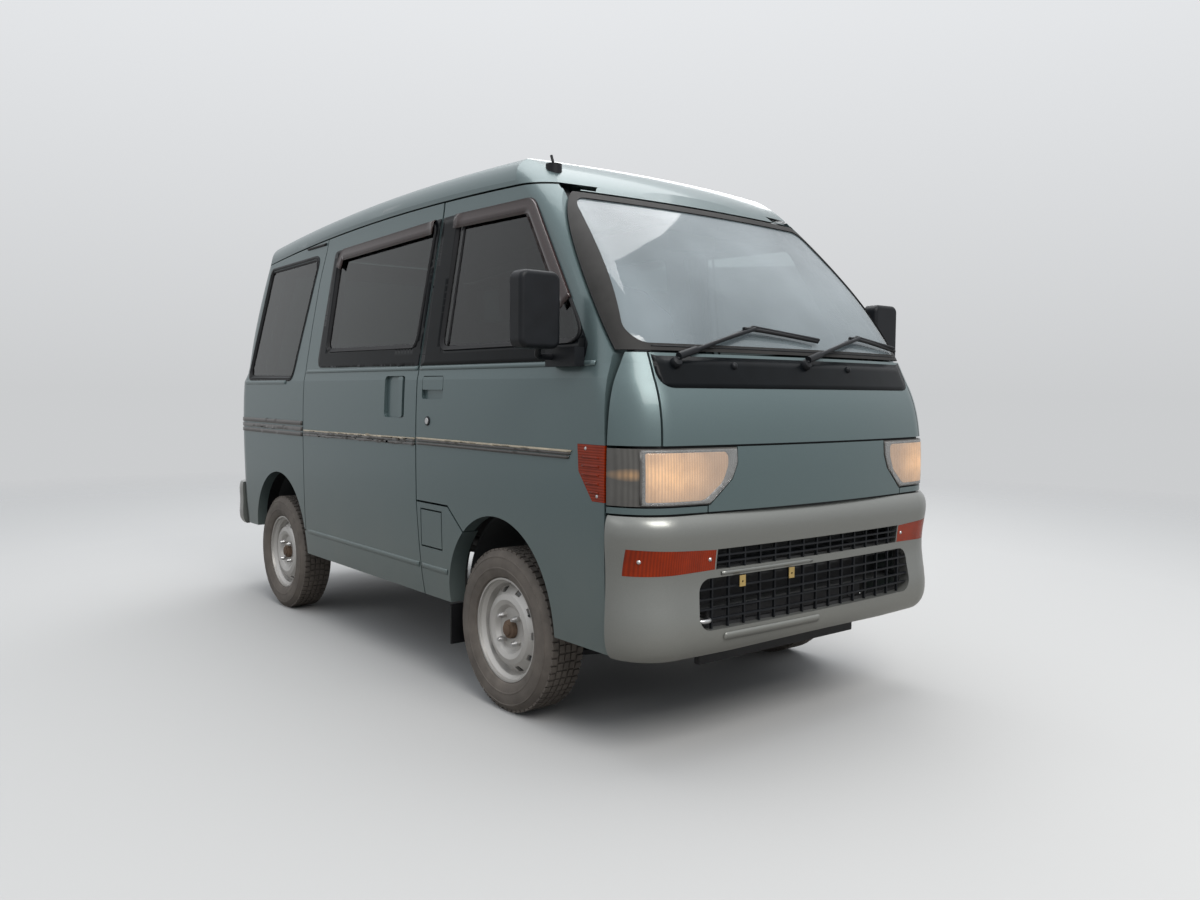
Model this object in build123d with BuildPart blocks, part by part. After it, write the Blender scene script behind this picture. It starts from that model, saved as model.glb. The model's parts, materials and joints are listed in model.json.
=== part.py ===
from build123d import *
from math import cos, hypot, radians, sin, sqrt
import os

# A kei-class van in millimetres. +Z is up, the nose faces -Y and the driver's side is -X.
# The origin is on the floor under the middle of the van.

# Overall sizes
LENGTH = 3295.0
WIDTH = 1395.0
HEIGHT = 1812.0
WHEELBASE = 1900.0
TRACK = 1205.0
FRONT_OVERHANG = 722.5

NOSE_Y = -LENGTH / 2
TAIL_Y = LENGTH / 2
HALF_WIDTH = WIDTH / 2
FRONT_AXLE_Y = NOSE_Y + FRONT_OVERHANG
REAR_AXLE_Y = FRONT_AXLE_Y + WHEELBASE

# Wheels and tyres
TYRE_R = 261.0
TYRE_WIDTH = 152.0
RIM_R = 166.5
RIM_WIDTH = 116.0
HUB_BORE_R = 31.0
STUB_R = 30.0
NUT_CIRCLE_R = 55.0
NUT_COUNT = 4
VENT_COUNT = 10
VENT_R = 128.0

# Body surface
BELT_Z = 1100.0
SHOULDER_Z = 1060.0
NOSE_BOW_R = 4000.0
TAIL_BOW_R = 6000.0
BUMPER_BOW_R = 8000.0
ROOF_CREST_Y = NOSE_Y + 1497.5
ROOF_ARCH_R = 16500.0
ROOF_CROWN_R = 9200.0
ROOF_EDGE_R = 110.0
ROOF_HALF = 595.0
BROW_R = 470.0
BROW_BOW_R = 2600.0
BROW_START_Y = NOSE_Y + 877.5
BROW_END_DEG = 47.2
MIN_CORNER_R = 20.0

# Wall depths, measured inwards from the outer surface
SKIN = 12.0
NOSE_FRAME_DEPTH = 30.0
DOOR_DEPTH = 45.0
ROOF_DEPTH = 30.0
FRAME_OUT = 62.0
FRAME_IN = 86.0
ROOF_FRAME_IN = 54.0

# Seams
SEAM = 6.0
DOOR_SEAM = 8.0
DOOR_FRONT_Y = NOSE_Y + 182.5
B_SEAM_Y = FRONT_AXLE_Y + 534.0
C_SEAM_Y = REAR_AXLE_Y - 327.0
BODY_BOTTOM_Z = 293.0
ROOF_SEAM_Z = HEIGHT - 120.0
HEADER_Z = 1644.0
SCREEN_FOOT_Z = 1134.0
PILLAR_FOOT = (NOSE_Y + 200.5, 1130.0)
PILLAR_HEAD = (NOSE_Y + 572.5, 1628.0)
PANEL_SEAM_Z = 875.0
LAMP_BOTTOM_Z = 714.0
BUMPER_TOP_Z = 688.0
BUMPER_BOTTOM_Z = 292.0
TAILGATE_BOTTOM_Z = 560.0
TAILGATE_TOP_Z = HEIGHT - 122.0

# Wheel arches: centre ahead of or behind the axle, centre height, radius
FRONT_ARCH = (FRONT_AXLE_Y + 17.0, 322.0, 303.0)
REAR_ARCH = (REAR_AXLE_Y - 17.0, 335.0, 305.0)

# Glass
GLASS_T = 5.0
GLASS_SET = 6.0
GLASS_CLEAR = 0.3
SEAL_DEPTH = 18.0

# Body sections: height, side tuck, nose set-back, tail set-back, nose corner r, tail corner r
LOWER_ROWS = [
    (250.0, 33.5, 11.5, 125.5, 160.0, 150.0),
    (450.0, 11.5, 9.5, 99.5, 160.0, 150.0),
    (650.0, 6.5, 8.5, 85.5, 160.0, 150.0),
    (860.0, 5.5, 10.5, 79.5, 160.0, 150.0),
    (960.0, 7.5, 25.5, 79.5, 160.0, 150.0),
    (SHOULDER_Z, 12.5, 64.5, 82.5, 160.0, 150.0),
]
# The upper rows start with the share of the height between belt and roof
UPPER_SHARES = [
    (0.0, 20.5, 82.5, 116.5, 158.0, 150.0),
    (0.140, 35.3, 137.5, 127.5, 145.0, 150.0),
    (0.284, 50.4, 212.5, 141.5, 130.0, 145.0),
    (0.448, 67.7, 317.5, 171.5, 110.0, 140.0),
    (0.608, 84.6, 431.5, 213.5, 100.0, 130.0),
    (0.746, 99.0, 533.5, 257.5, 110.0, 120.0),
    (0.913, 102.5, 644.5, 317.5, 250.0, 120.0),
    (1.067, 102.5, 744.5, 377.5, 330.0, 120.0),
]
UPPER_ROWS = [(BELT_Z + row[0] * (HEIGHT - BELT_Z), *row[1:]) for row in UPPER_SHARES]
SHOULDER_ROWS = [LOWER_ROWS[-1], UPPER_ROWS[0]]
# Front bumper sections: height, side tuck, nose set-back, corner r
BUMPER_ROWS = [
    (BUMPER_BOTTOM_Z, 26.0, 30.0, 130.0),
    (325.0, 9.0, 6.0, 145.0),
    (350.0, 5.0, 0.0, 150.0),
    (430.0, 5.5, 5.0, 152.0),
    (630.0, 2.0, 3.0, 155.0),
    (665.0, 4.5, 7.0, 152.0),
    (BUMPER_TOP_Z, 12.0, 22.0, 150.0),
]


def corner_arc(half, edge, radius, bow, side):
    """Points of the arc that joins a bowed nose or tail to the straight side."""
    bow_y = edge - side * bow
    cx = half - radius
    cy = bow_y + side * sqrt((bow - radius) ** 2 - cx**2)
    reach = bow / (bow - radius)
    tx, ty = cx * reach, bow_y + (cy - bow_y) * reach
    mx, my = tx - cx + radius, ty - cy
    length = hypot(mx, my)
    return (tx, ty), (cx + mx / length * radius, cy + my / length * radius), (half, cy)


def flip(point):
    """The same point on the other side of the van."""
    return -point[0], point[1]


def plan_outline(half, nose, tail, nose_r, tail_r, inset, nose_bow):
    """Lines and arcs of one plan section: bowed nose and tail, corner arcs and straight sides."""
    nose_at, tail_at = nose + inset, tail - inset
    nose_r, tail_r = max(nose_r - inset, MIN_CORNER_R), max(tail_r - inset, MIN_CORNER_R)
    n1, n2, n3 = corner_arc(half - inset, nose_at, nose_r, nose_bow - inset, -1)
    t1, t2, t3 = corner_arc(half - inset, tail_at, tail_r, TAIL_BOW_R - inset, 1)
    ThreePointArc(flip(n1), (0, nose_at), n1)
    ThreePointArc(n1, n2, n3)
    Line(n3, t3)
    ThreePointArc(t3, t2, t1)
    ThreePointArc(t1, (0, tail_at), flip(t1))
    ThreePointArc(flip(t1), flip(t2), flip(t3))
    Line(flip(t3), flip(n3))
    ThreePointArc(flip(n3), flip(n2), flip(n1))


def body_loft(rows, inset, ruled=False):
    """Solid through the plan sections of a table, with its surface set in by inset."""
    with BuildPart() as volume:
        for z, tuck, nose_back, tail_back, nose_r, tail_r in rows:
            with BuildSketch(Plane.XY.offset(z)):
                with BuildLine():
                    plan_outline(
                        HALF_WIDTH - tuck, NOSE_Y + nose_back, TAIL_Y - tail_back,
                        nose_r, tail_r, inset, NOSE_BOW_R,
                    )
                make_face()
        loft(ruled=ruled)
    return volume.part


def bumper_loft(inset):
    """Solid through the front bumper's sections."""
    with BuildPart() as volume:
        for z, tuck, nose_back, nose_r in BUMPER_ROWS:
            with BuildSketch(Plane.XY.offset(z)):
                with BuildLine():
                    plan_outline(
                        HALF_WIDTH - tuck, NOSE_Y + nose_back, NOSE_Y + 1000,
                        nose_r, 150.0, inset, BUMPER_BOW_R,
                    )
                make_face()
        loft()
    return volume.part


def roof_volume(inset):
    """All that lies under the arched and crowned roof, turned about a far axis along X."""
    axis_z = HEIGHT - ROOF_ARCH_R
    sweep = radians(8)
    top = ROOF_ARCH_R - inset
    low = ROOF_ARCH_R - HEIGHT + 100
    wide = HALF_WIDTH + 60
    crown = ROOF_CROWN_R - inset
    first, middle, last = corner_arc(ROOF_HALF - inset, top, ROOF_EDGE_R - inset, crown, 1)
    with BuildPart() as volume:
        tilted = Plane(
            origin=(0, ROOF_CREST_Y, axis_z), x_dir=(1, 0, 0), z_dir=(0, -cos(sweep), sin(sweep))
        )
        with BuildSketch(tilted):
            with BuildLine():
                ThreePointArc(flip(first), (0, top), first)
                ThreePointArc(first, middle, last)
                ThreePointArc(flip(first), flip(middle), flip(last))
                for side in (1, -1):
                    Polyline((side * last[0], last[1]), (side * wide, last[1]), (side * wide, low))
                Line((-wide, low), (wide, low))
            make_face()
        revolve(axis=Axis((0, ROOF_CREST_Y, axis_z), (1, 0, 0)), revolution_arc=16)
    return volume.part


def roof_top(y):
    """Height of the roof's centre line."""
    return HEIGHT - (y - ROOF_CREST_Y) ** 2 / (2 * ROOF_ARCH_R)


def brow_cutter(inset):
    """What the rounded front edge of the roof takes off, turned about the screen's bow."""
    slope = (ROOF_CREST_Y - BROW_START_Y) / ROOF_ARCH_R
    turn = radians(BROW_END_DEG)
    brow = BROW_R - 0.3 * inset
    start = (BROW_START_Y, roof_top(BROW_START_Y) - inset)
    middle, foot = (
        (start[0] - brow * (sin(angle) - sin(slope)), start[1] - brow * (cos(slope) - cos(angle)))
        for angle in ((slope + turn) / 2, turn)
    )
    ahead = foot[0] - 250
    with BuildPart() as cutter:
        with BuildSketch(Plane.YZ):
            with BuildLine():
                ThreePointArc(start, middle, foot)
                Polyline(foot, (ahead, foot[1]), (ahead, HEIGHT + 150), (start[0], HEIGHT + 150), start)
            make_face()
        revolve(axis=Axis((0, BROW_START_Y - 100 + BROW_BOW_R, 0), (0, 0, 1)), revolution_arc=18)
        mirror(about=Plane.YZ)
    return cutter.part


def envelope(inset, roof_inset):
    """The van's outer surface as a solid, set in by inset at the sides and roof_inset on top."""
    with BuildPart() as body:
        add(body_loft(LOWER_ROWS, inset))
        add(body_loft(SHOULDER_ROWS, inset, ruled=True))
        add(body_loft(UPPER_ROWS, inset))
        add(roof_volume(roof_inset), mode=Mode.INTERSECT)
        add(brow_cutter(roof_inset), mode=Mode.SUBTRACT)
    return body.part


def layer(region, outside, inside):
    """What a region holds between two envelopes."""
    with BuildPart() as wall:
        add(region)
        add(outside, mode=Mode.INTERSECT)
        add(inside, mode=Mode.SUBTRACT)
    return wall.part


def screen_y(x, z):
    """Where the nose's surface lies at a width and height above the belt."""
    for low, high in zip(UPPER_ROWS, UPPER_ROWS[1:]):
        if z <= high[0]:
            break
    share = (z - low[0]) / (high[0] - low[0])
    return NOSE_Y + low[2] + share * (high[2] - low[2]) + x**2 / (2 * NOSE_BOW_R)


def pillar_y(z):
    """Side-view line of the windscreen's edge."""
    (y0, z0), (y1, z1) = PILLAR_FOOT, PILLAR_HEAD
    return y0 + (z - z0) * (y1 - y0) / (z1 - z0)


def side_prism(points, near=0.0, arches=(), below_seam=False, inset=0.0, side=-1, round_r=0.0):
    """Prism through one side of the van, from near outwards, on a side-view outline."""
    with BuildPart() as prism:
        with BuildSketch(Plane.YZ.offset(side * near)) as sketch:
            with BuildLine():
                Polyline(*points, close=True)
            make_face()
            if inset:
                offset(amount=-inset, kind=Kind.INTERSECTION)
            if round_r:
                fillet(sketch.vertices(), radius=round_r)
            if below_seam:
                with Locations((ROOF_CREST_Y, ROOF_SEAM_Z - ROOF_ARCH_R)):
                    Circle(ROOF_ARCH_R - inset, mode=Mode.INTERSECT)
            for y, z, r in arches:
                with Locations((y, z)):
                    Circle(r, mode=Mode.SUBTRACT)
        extrude(amount=side * (HALF_WIDTH + 80 - near))
    return prism.part


def end_prism(points, y_from, y_to, inset=0.0, round_r=0.0):
    """Prism along Y on an outline seen from the front."""
    with BuildPart() as prism:
        with BuildSketch(Plane.XZ.offset(-y_to)) as sketch:
            with BuildLine():
                Polyline(*points, close=True)
            make_face()
            if inset:
                offset(amount=-inset, kind=Kind.INTERSECTION)
            if round_r:
                fillet(sketch.vertices(), radius=round_r)
        extrude(amount=y_to - y_from)
    return prism.part


def both_ends(points):
    """An outline's right half completed with its mirror image."""
    return list(points) + [flip(point) for point in reversed(points)]


def block(x0, x1, y0, y1, z0, z1):
    """Box between corner coordinates, added to the running part."""
    with Locations(((x0 + x1) / 2, (y0 + y1) / 2, (z0 + z1) / 2)):
        Box(abs(x1 - x0), abs(y1 - y0), abs(z1 - z0))


def write(part, name):
    """Label a finished piece and write it."""
    part.label = name
    export_step(part, f"parts/{name}.step")


def mirrored(part):
    """The same piece on the other side of the van."""
    with BuildPart() as other:
        mirror(part, about=Plane.YZ)
    return other.part


os.makedirs("parts", exist_ok=True)

outer = envelope(0.0, 0.0)
skin_in = envelope(SKIN, SKIN)
nose_in = envelope(NOSE_FRAME_DEPTH, NOSE_FRAME_DEPTH)
door_in = envelope(DOOR_DEPTH, ROOF_DEPTH)
frame_out = envelope(FRAME_OUT, ROOF_DEPTH)
frame_in = envelope(FRAME_IN, ROOF_FRAME_IN)

# Roof panel
with BuildPart() as roof_region:
    with BuildSketch(Plane.YZ.offset(-HALF_WIDTH)):
        with BuildLine():
            Polyline(
                (NOSE_Y, 1500), (TAIL_Y, 1500), (TAIL_Y, HEIGHT + 60), (NOSE_Y, HEIGHT + 60), close=True
            )
        make_face()
        with Locations((ROOF_CREST_Y, ROOF_SEAM_Z - ROOF_ARCH_R)):
            Circle(ROOF_ARCH_R + SEAM / 2, mode=Mode.SUBTRACT)
        with BuildLine():
            Polyline(
                (NOSE_Y + 300, HEADER_Z + SEAM / 2), (pillar_y(HEADER_Z) - SEAM, HEADER_Z + SEAM / 2),
                (pillar_y(HEADER_Z + 26) - SEAM, HEADER_Z + 26), (NOSE_Y + 300, HEADER_Z + 26), close=True,
            )
        make_face()
    extrude(amount=WIDTH)

TAILGATE = [(568, TAILGATE_BOTTOM_Z), (568, 1060), (478, TAILGATE_TOP_Z)]
gate_hole = end_prism(both_ends(TAILGATE), TAIL_Y - 500, TAIL_Y + 40, -DOOR_SEAM / 2)
gate_region = end_prism(both_ends(TAILGATE), TAIL_Y - 500, TAIL_Y + 40, DOOR_SEAM / 2)

with BuildPart() as roof_panel:
    add(layer(roof_region.part, outer, door_in))
    add(gate_hole, mode=Mode.SUBTRACT)
write(roof_panel.part, "roof_panel")

# Front doors
DOOR_LOW_REAR = [
    (B_SEAM_Y - 44, ROOF_SEAM_Z + 60),
    (B_SEAM_Y, BELT_Z + 10),
    (B_SEAM_Y, 629),
    (B_SEAM_Y - 221, 629),
    (B_SEAM_Y - 329, 545),
    (B_SEAM_Y - 329, BODY_BOTTOM_Z),
]
FRONT_DOOR = [
    (DOOR_FRONT_Y, BODY_BOTTOM_Z),
    (DOOR_FRONT_Y, PANEL_SEAM_Z),
    (PILLAR_FOOT[0], PILLAR_FOOT[1]),
    (pillar_y(ROOF_SEAM_Z + 60), ROOF_SEAM_Z + 60),
    *DOOR_LOW_REAR,
]
WINDOW_TOP_Z = ROOF_SEAM_Z - 68
FRONT_WINDOW = [
    (B_SEAM_Y - 132, BELT_Z + 66),
    (B_SEAM_Y - 148, WINDOW_TOP_Z),
    (pillar_y(WINDOW_TOP_Z) + 88, WINDOW_TOP_Z - 10),
    (pillar_y(BELT_Z + 66) + 78, BELT_Z + 66),
]
front_door_region = side_prism(
    FRONT_DOOR, near=535, arches=[FRONT_ARCH], below_seam=True, inset=DOOR_SEAM / 2
)
front_window = side_prism(FRONT_WINDOW, near=400, round_r=38)
SIDE_LAMP = [
    (DOOR_FRONT_Y - 30, 877),
    (DOOR_FRONT_Y + 124, 877),
    (DOOR_FRONT_Y + 118, 800),
    (DOOR_FRONT_Y + 56, 720),
    (DOOR_FRONT_Y - 30, 720),
]
LAMP_DEPTH = 16.0
side_lamp_hole = side_prism(SIDE_LAMP, near=HALF_WIDTH - LAMP_DEPTH)
side_lamp_region = side_prism(SIDE_LAMP, near=HALF_WIDTH - LAMP_DEPTH + GLASS_CLEAR, inset=GLASS_CLEAR)

# Door handles: a pocket with a pull flap in it, whose face is flush with the door
FLAP_GAP = 3.0
FRONT_POCKET = [
    (B_SEAM_Y - 187, 993), (B_SEAM_Y - 39, 993),
    (B_SEAM_Y - 39, 1073), (B_SEAM_Y - 187, 1073),
]
FRONT_FLAP_AT = [
    (B_SEAM_Y - 187, 1022), (B_SEAM_Y - 39, 1022),
    (B_SEAM_Y - 39, 1073), (B_SEAM_Y - 187, 1073),
]
REAR_POCKET = [
    (B_SEAM_Y + 92, 922), (B_SEAM_Y + 252, 922),
    (B_SEAM_Y + 252, 1075), (B_SEAM_Y + 92, 1075),
]
REAR_FLAP_AT = [
    (B_SEAM_Y + 108, 922), (B_SEAM_Y + 150, 922),
    (B_SEAM_Y + 150, 1075), (B_SEAM_Y + 108, 1075),
]


def handle_pocket(pocket, flap, round_r):
    """What is cut out of a door round its pull flap."""
    with BuildPart() as space:
        add(side_prism(pocket, near=600, round_r=round_r))
        add(side_prism(flap, near=560, inset=FLAP_GAP, round_r=round_r / 2), mode=Mode.SUBTRACT)
    return layer(space.part, outer, skin_in)


with BuildPart() as front_door:
    add(layer(front_door_region, outer, door_in))
    add(front_window, mode=Mode.SUBTRACT)
    add(side_lamp_hole, mode=Mode.SUBTRACT)
    add(handle_pocket(FRONT_POCKET, FRONT_FLAP_AT, 12), mode=Mode.SUBTRACT)
with BuildPart() as side_lamp:
    add(side_lamp_region)
    add(front_door_region, mode=Mode.INTERSECT)
    add(outer, mode=Mode.INTERSECT)

# Side glass lies in one plane from the belt to the window tops
half_belt = HALF_WIDTH - UPPER_ROWS[0][1]
half_head = HALF_WIDTH - UPPER_ROWS[4][1]
glass_lean = (half_belt - half_head) / (UPPER_ROWS[4][0] - BELT_Z)
lean_length = hypot(1, glass_lean)
glass_plane = Plane(
    origin=(-half_belt, 0, BELT_Z), x_dir=(0, 1, 0), z_dir=(-1 / lean_length, 0, glass_lean / lean_length)
)


def side_glass(outline, round_r):
    """Flat side window in its opening."""
    with BuildPart() as glass:
        with BuildSketch(glass_plane.offset(-GLASS_SET)):
            Rectangle(LENGTH, 1200)
        extrude(amount=-GLASS_T)
        add(side_prism(outline, near=400, inset=GLASS_CLEAR, round_r=round_r), mode=Mode.INTERSECT)
    return glass.part


front_glass = side_glass(FRONT_WINDOW, 38 - GLASS_CLEAR)

# Sliding doors
SLIDING_DOOR = [
    (B_SEAM_Y - 40, ROOF_SEAM_Z + 60),
    (B_SEAM_Y, BELT_Z + 10),
    (B_SEAM_Y, 629),
    (B_SEAM_Y - 20, 416),
    (B_SEAM_Y - 31, BODY_BOTTOM_Z),
    (C_SEAM_Y + 40, BODY_BOTTOM_Z),
    (C_SEAM_Y + 40, 397),
    (C_SEAM_Y, 403),
    (C_SEAM_Y, BELT_Z + 30),
    (C_SEAM_Y - 10, 1320),
    (C_SEAM_Y - 28, 1500),
    (C_SEAM_Y - 84, ROOF_SEAM_Z + 20),
]
SLIDING_WINDOW = [
    (B_SEAM_Y + 44, BELT_Z + 80),
    (B_SEAM_Y + 10, WINDOW_TOP_Z),
    (C_SEAM_Y - 215, WINDOW_TOP_Z - 22),
    (C_SEAM_Y - 200, BELT_Z + 86),
]
sliding_region = side_prism(
    SLIDING_DOOR, near=480, arches=[REAR_ARCH], below_seam=True, inset=SEAM / 2
)
with BuildPart() as sliding_door:
    add(layer(sliding_region, outer, door_in))
    add(side_prism(SLIDING_WINDOW, near=400, round_r=38), mode=Mode.SUBTRACT)
    add(handle_pocket(REAR_POCKET, REAR_FLAP_AT, 16), mode=Mode.SUBTRACT)
sliding_glass = side_glass(SLIDING_WINDOW, 38 - GLASS_CLEAR)

# Rear quarters, with the fixed panel between front wheel and sliding door
QUARTER = [
    (REAR_AXLE_Y, 397),
    (C_SEAM_Y + 40, 397),
    (C_SEAM_Y, 403),
    (C_SEAM_Y, BELT_Z + 30),
    (C_SEAM_Y - 10, 1320),
    (C_SEAM_Y - 28, 1500),
    (C_SEAM_Y - 84, ROOF_SEAM_Z + 20),
    (TAIL_Y + 20, ROOF_SEAM_Z + 20),
    (TAIL_Y + 20, TAILGATE_BOTTOM_Z),
    (TAIL_Y - 210, TAILGATE_BOTTOM_Z),
    (TAIL_Y - 210, 352),
    (REAR_AXLE_Y, 352),
]
QUARTER_WINDOW = [
    (C_SEAM_Y + 157, 1076),
    (C_SEAM_Y + 15, 1600),
    (REAR_AXLE_Y + 256, 1592),
    (REAR_AXLE_Y + 381, 1082),
]
FIXED_PANEL = [
    (B_SEAM_Y, 629),
    (B_SEAM_Y - 221, 629),
    (B_SEAM_Y - 329, 545),
    (B_SEAM_Y - 329, BODY_BOTTOM_Z),
    (B_SEAM_Y - 31, BODY_BOTTOM_Z),
    (B_SEAM_Y - 20, 416),
]
FUEL_LID = [
    (B_SEAM_Y - 30, 607),
    (B_SEAM_Y - 182, 607),
    (B_SEAM_Y - 182, 470),
    (B_SEAM_Y - 30, 470),
]
LID_GAP = 5.5
LID_DEPTH = 9.0
LID_FLOOR = 12.0
quarter_region = side_prism(QUARTER, near=470, arches=[REAR_ARCH], below_seam=True, inset=SEAM / 2)
with BuildPart() as quarter:
    add(layer(quarter_region, outer, door_in))
    add(side_prism(QUARTER_WINDOW, near=300, round_r=34), mode=Mode.SUBTRACT)
    add(gate_hole, mode=Mode.SUBTRACT)
TAIL_LAMP = [(582, 690), (760, 690), (760, 985), (582, 985)]
TAIL_LAMP_RIGHT = [flip(point) for point in TAIL_LAMP]
lamp_hole = end_prism(TAIL_LAMP_RIGHT, TAIL_Y - 175, TAIL_Y + 40)
lamp_fill = end_prism(TAIL_LAMP_RIGHT, TAIL_Y - 175 + GLASS_CLEAR, TAIL_Y + 40, GLASS_CLEAR)
tail_lamp = layer(lamp_fill, outer, envelope(SKIN - GLASS_CLEAR, SKIN))
fixed_panel = layer(
    side_prism(FIXED_PANEL, near=480, arches=[FRONT_ARCH], inset=SEAM / 2), outer, frame_out
)
with BuildPart() as side_panel:
    add(quarter.part)
    add(layer(lamp_hole, outer, skin_in), mode=Mode.SUBTRACT)
    add(fixed_panel)
fuel_lid = layer(
    side_prism(FUEL_LID, near=480, inset=LID_GAP), outer, envelope(LID_DEPTH, ROOF_DEPTH)
)
with BuildPart() as side_panel_right:
    add(side_panel.part)
    add(
        layer(side_prism(FUEL_LID, near=480), outer, envelope(LID_DEPTH + LID_FLOOR, ROOF_DEPTH)),
        mode=Mode.SUBTRACT,
    )
quarter_glass = side_glass(QUARTER_WINDOW, 34 - GLASS_CLEAR)

# Door frames: pillars, roof rail and sill behind the doors
FRAME_RING = [
    (DOOR_FRONT_Y + 92, 300),
    (DOOR_FRONT_Y + 92, 1080),
    (pillar_y(1150) + 52, 1150),
    (pillar_y(ROOF_SEAM_Z + 60) + 30, ROOF_SEAM_Z + 60),
    (C_SEAM_Y + 20, ROOF_SEAM_Z + 60),
    (C_SEAM_Y + 20, 300),
]
FRONT_APERTURE = [
    (DOOR_FRONT_Y + 140, 430),
    (DOOR_FRONT_Y + 140, 1080),
    (pillar_y(1590) + 75, 1590),
    (B_SEAM_Y - 95, 1600),
    (B_SEAM_Y - 60, 640),
    (B_SEAM_Y - 260, 640),
]
REAR_APERTURE = [
    (B_SEAM_Y + 50, 400),
    (B_SEAM_Y + 20, 1600),
    (C_SEAM_Y - 130, 1590),
    (C_SEAM_Y - 50, 1100),
    (C_SEAM_Y - 50, 400),
]
frame_arches = [
    (FRONT_ARCH[0], FRONT_ARCH[1], FRONT_ARCH[2] + 24),
    (REAR_ARCH[0], REAR_ARCH[1], REAR_ARCH[2] + 24),
]
with BuildPart() as side_frame:
    add(layer(side_prism(FRAME_RING, near=470, arches=frame_arches), frame_out, frame_in))
    add(side_prism(FRONT_APERTURE, near=300, round_r=30), mode=Mode.SUBTRACT)
    add(side_prism(REAR_APERTURE, near=300, round_r=30), mode=Mode.SUBTRACT)

for name, piece in (
    ("front_door", front_door.part),
    ("side_lamp", side_lamp.part),
    ("front_door_glass", front_glass),
    ("sliding_door", sliding_door.part),
    ("side_frame", side_frame.part),
):
    write(piece, f"{name}_right")
    write(mirrored(piece), f"{name}_left")
write(side_panel_right.part, "side_panel_right")
write(mirrored(side_panel.part), "side_panel_left")
write(fuel_lid, "fuel_lid")

with BuildPart() as side_windows:
    for piece in (sliding_glass, quarter_glass):
        add(piece)
        mirror(piece, about=Plane.YZ)
write(side_windows.part, "side_windows")
with BuildPart() as tail_lamps:
    add(tail_lamp)
    mirror(tail_lamp, about=Plane.YZ)
write(tail_lamps.part, "tail_lamps")

# Tailgate
GATE_WINDOW = both_ends([(500, 1120), (430, 1600)])
with BuildPart() as tailgate:
    add(layer(gate_region, outer, door_in))
    add(end_prism(GATE_WINDOW, TAIL_Y - 500, TAIL_Y + 40, round_r=40), mode=Mode.SUBTRACT)
write(tailgate.part, "tailgate")
glass_out = envelope(GLASS_SET, GLASS_SET)
glass_in = envelope(GLASS_SET + GLASS_T, GLASS_SET + GLASS_T)
gate_window_fill = end_prism(GATE_WINDOW, TAIL_Y - 500, TAIL_Y + 40, GLASS_CLEAR, 40 - GLASS_CLEAR)
write(layer(gate_window_fill, glass_out, glass_in), "tailgate_glass")

# Windscreen and its seal
SCREEN = both_ends([(622, SCREEN_FOOT_Z + 24), (524, HEADER_Z - 24)])
screen_opening = end_prism(SCREEN, NOSE_Y, NOSE_Y + 700, round_r=50)
screen_fill = end_prism(SCREEN, NOSE_Y, NOSE_Y + 700, GLASS_CLEAR, 50 - GLASS_CLEAR)
SEAL_SIDE = [
    (pillar_y(SCREEN_FOOT_Z), SCREEN_FOOT_Z),
    (pillar_y(HEADER_Z), HEADER_Z),
    (NOSE_Y, HEADER_Z),
    (NOSE_Y, SCREEN_FOOT_Z),
]
with BuildPart() as seal_region:
    with BuildSketch(Plane.YZ.offset(-HALF_WIDTH)):
        with BuildLine():
            Polyline(*SEAL_SIDE, close=True)
        make_face()
        offset(amount=-DOOR_SEAM / 2, kind=Kind.INTERSECTION)
    extrude(amount=WIDTH)
with BuildPart() as windscreen_seal:
    add(layer(seal_region.part, outer, envelope(SEAL_DEPTH, SEAL_DEPTH)))
    add(screen_opening, mode=Mode.SUBTRACT)
write(windscreen_seal.part, "windscreen_seal")
write(layer(screen_fill, glass_out, glass_in), "windscreen_glass")

# Nose: upper panel, corner panels, nose panel and lamps, all on one hidden frame
with BuildPart() as nose_zone:
    block(
        -HALF_WIDTH, HALF_WIDTH, NOSE_Y - 20, DOOR_FRONT_Y - DOOR_SEAM / 2,
        BUMPER_TOP_Z + SEAM, SCREEN_FOOT_Z,
    )
UPPER_PANEL = both_ends([(594, PANEL_SEAM_Z), (576, SCREEN_FOOT_Z)])
CORNER_PANEL = [(-594, PANEL_SEAM_Z), (-576, SCREEN_FOOT_Z), (-760, SCREEN_FOOT_Z), (-760, PANEL_SEAM_Z)]
LAMP = [
    (-342, PANEL_SEAM_Z - 3),
    (-342, 826),
    (-362, 782),
    (-440, LAMP_BOTTOM_Z),
    (-760, LAMP_BOTTOM_Z),
    (-760, PANEL_SEAM_Z - 3),
]
FILLER = [(-446, LAMP_BOTTOM_Z), (-446, BUMPER_TOP_Z), (-760, BUMPER_TOP_Z), (-760, LAMP_BOTTOM_Z)]
NOSE_PANEL = both_ends([(760, BUMPER_TOP_Z), (760, PANEL_SEAM_Z)])
FRONT_REACH = (NOSE_Y - 40, NOSE_Y + 260)


def nose_piece(points, inset):
    """Part of the nose's skin on an outline seen from the front."""
    with BuildPart() as piece:
        add(end_prism(points, *FRONT_REACH, inset))
        add(nose_zone.part, mode=Mode.INTERSECT)
        add(outer, mode=Mode.INTERSECT)
        add(skin_in, mode=Mode.SUBTRACT)
    return piece.part


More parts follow.
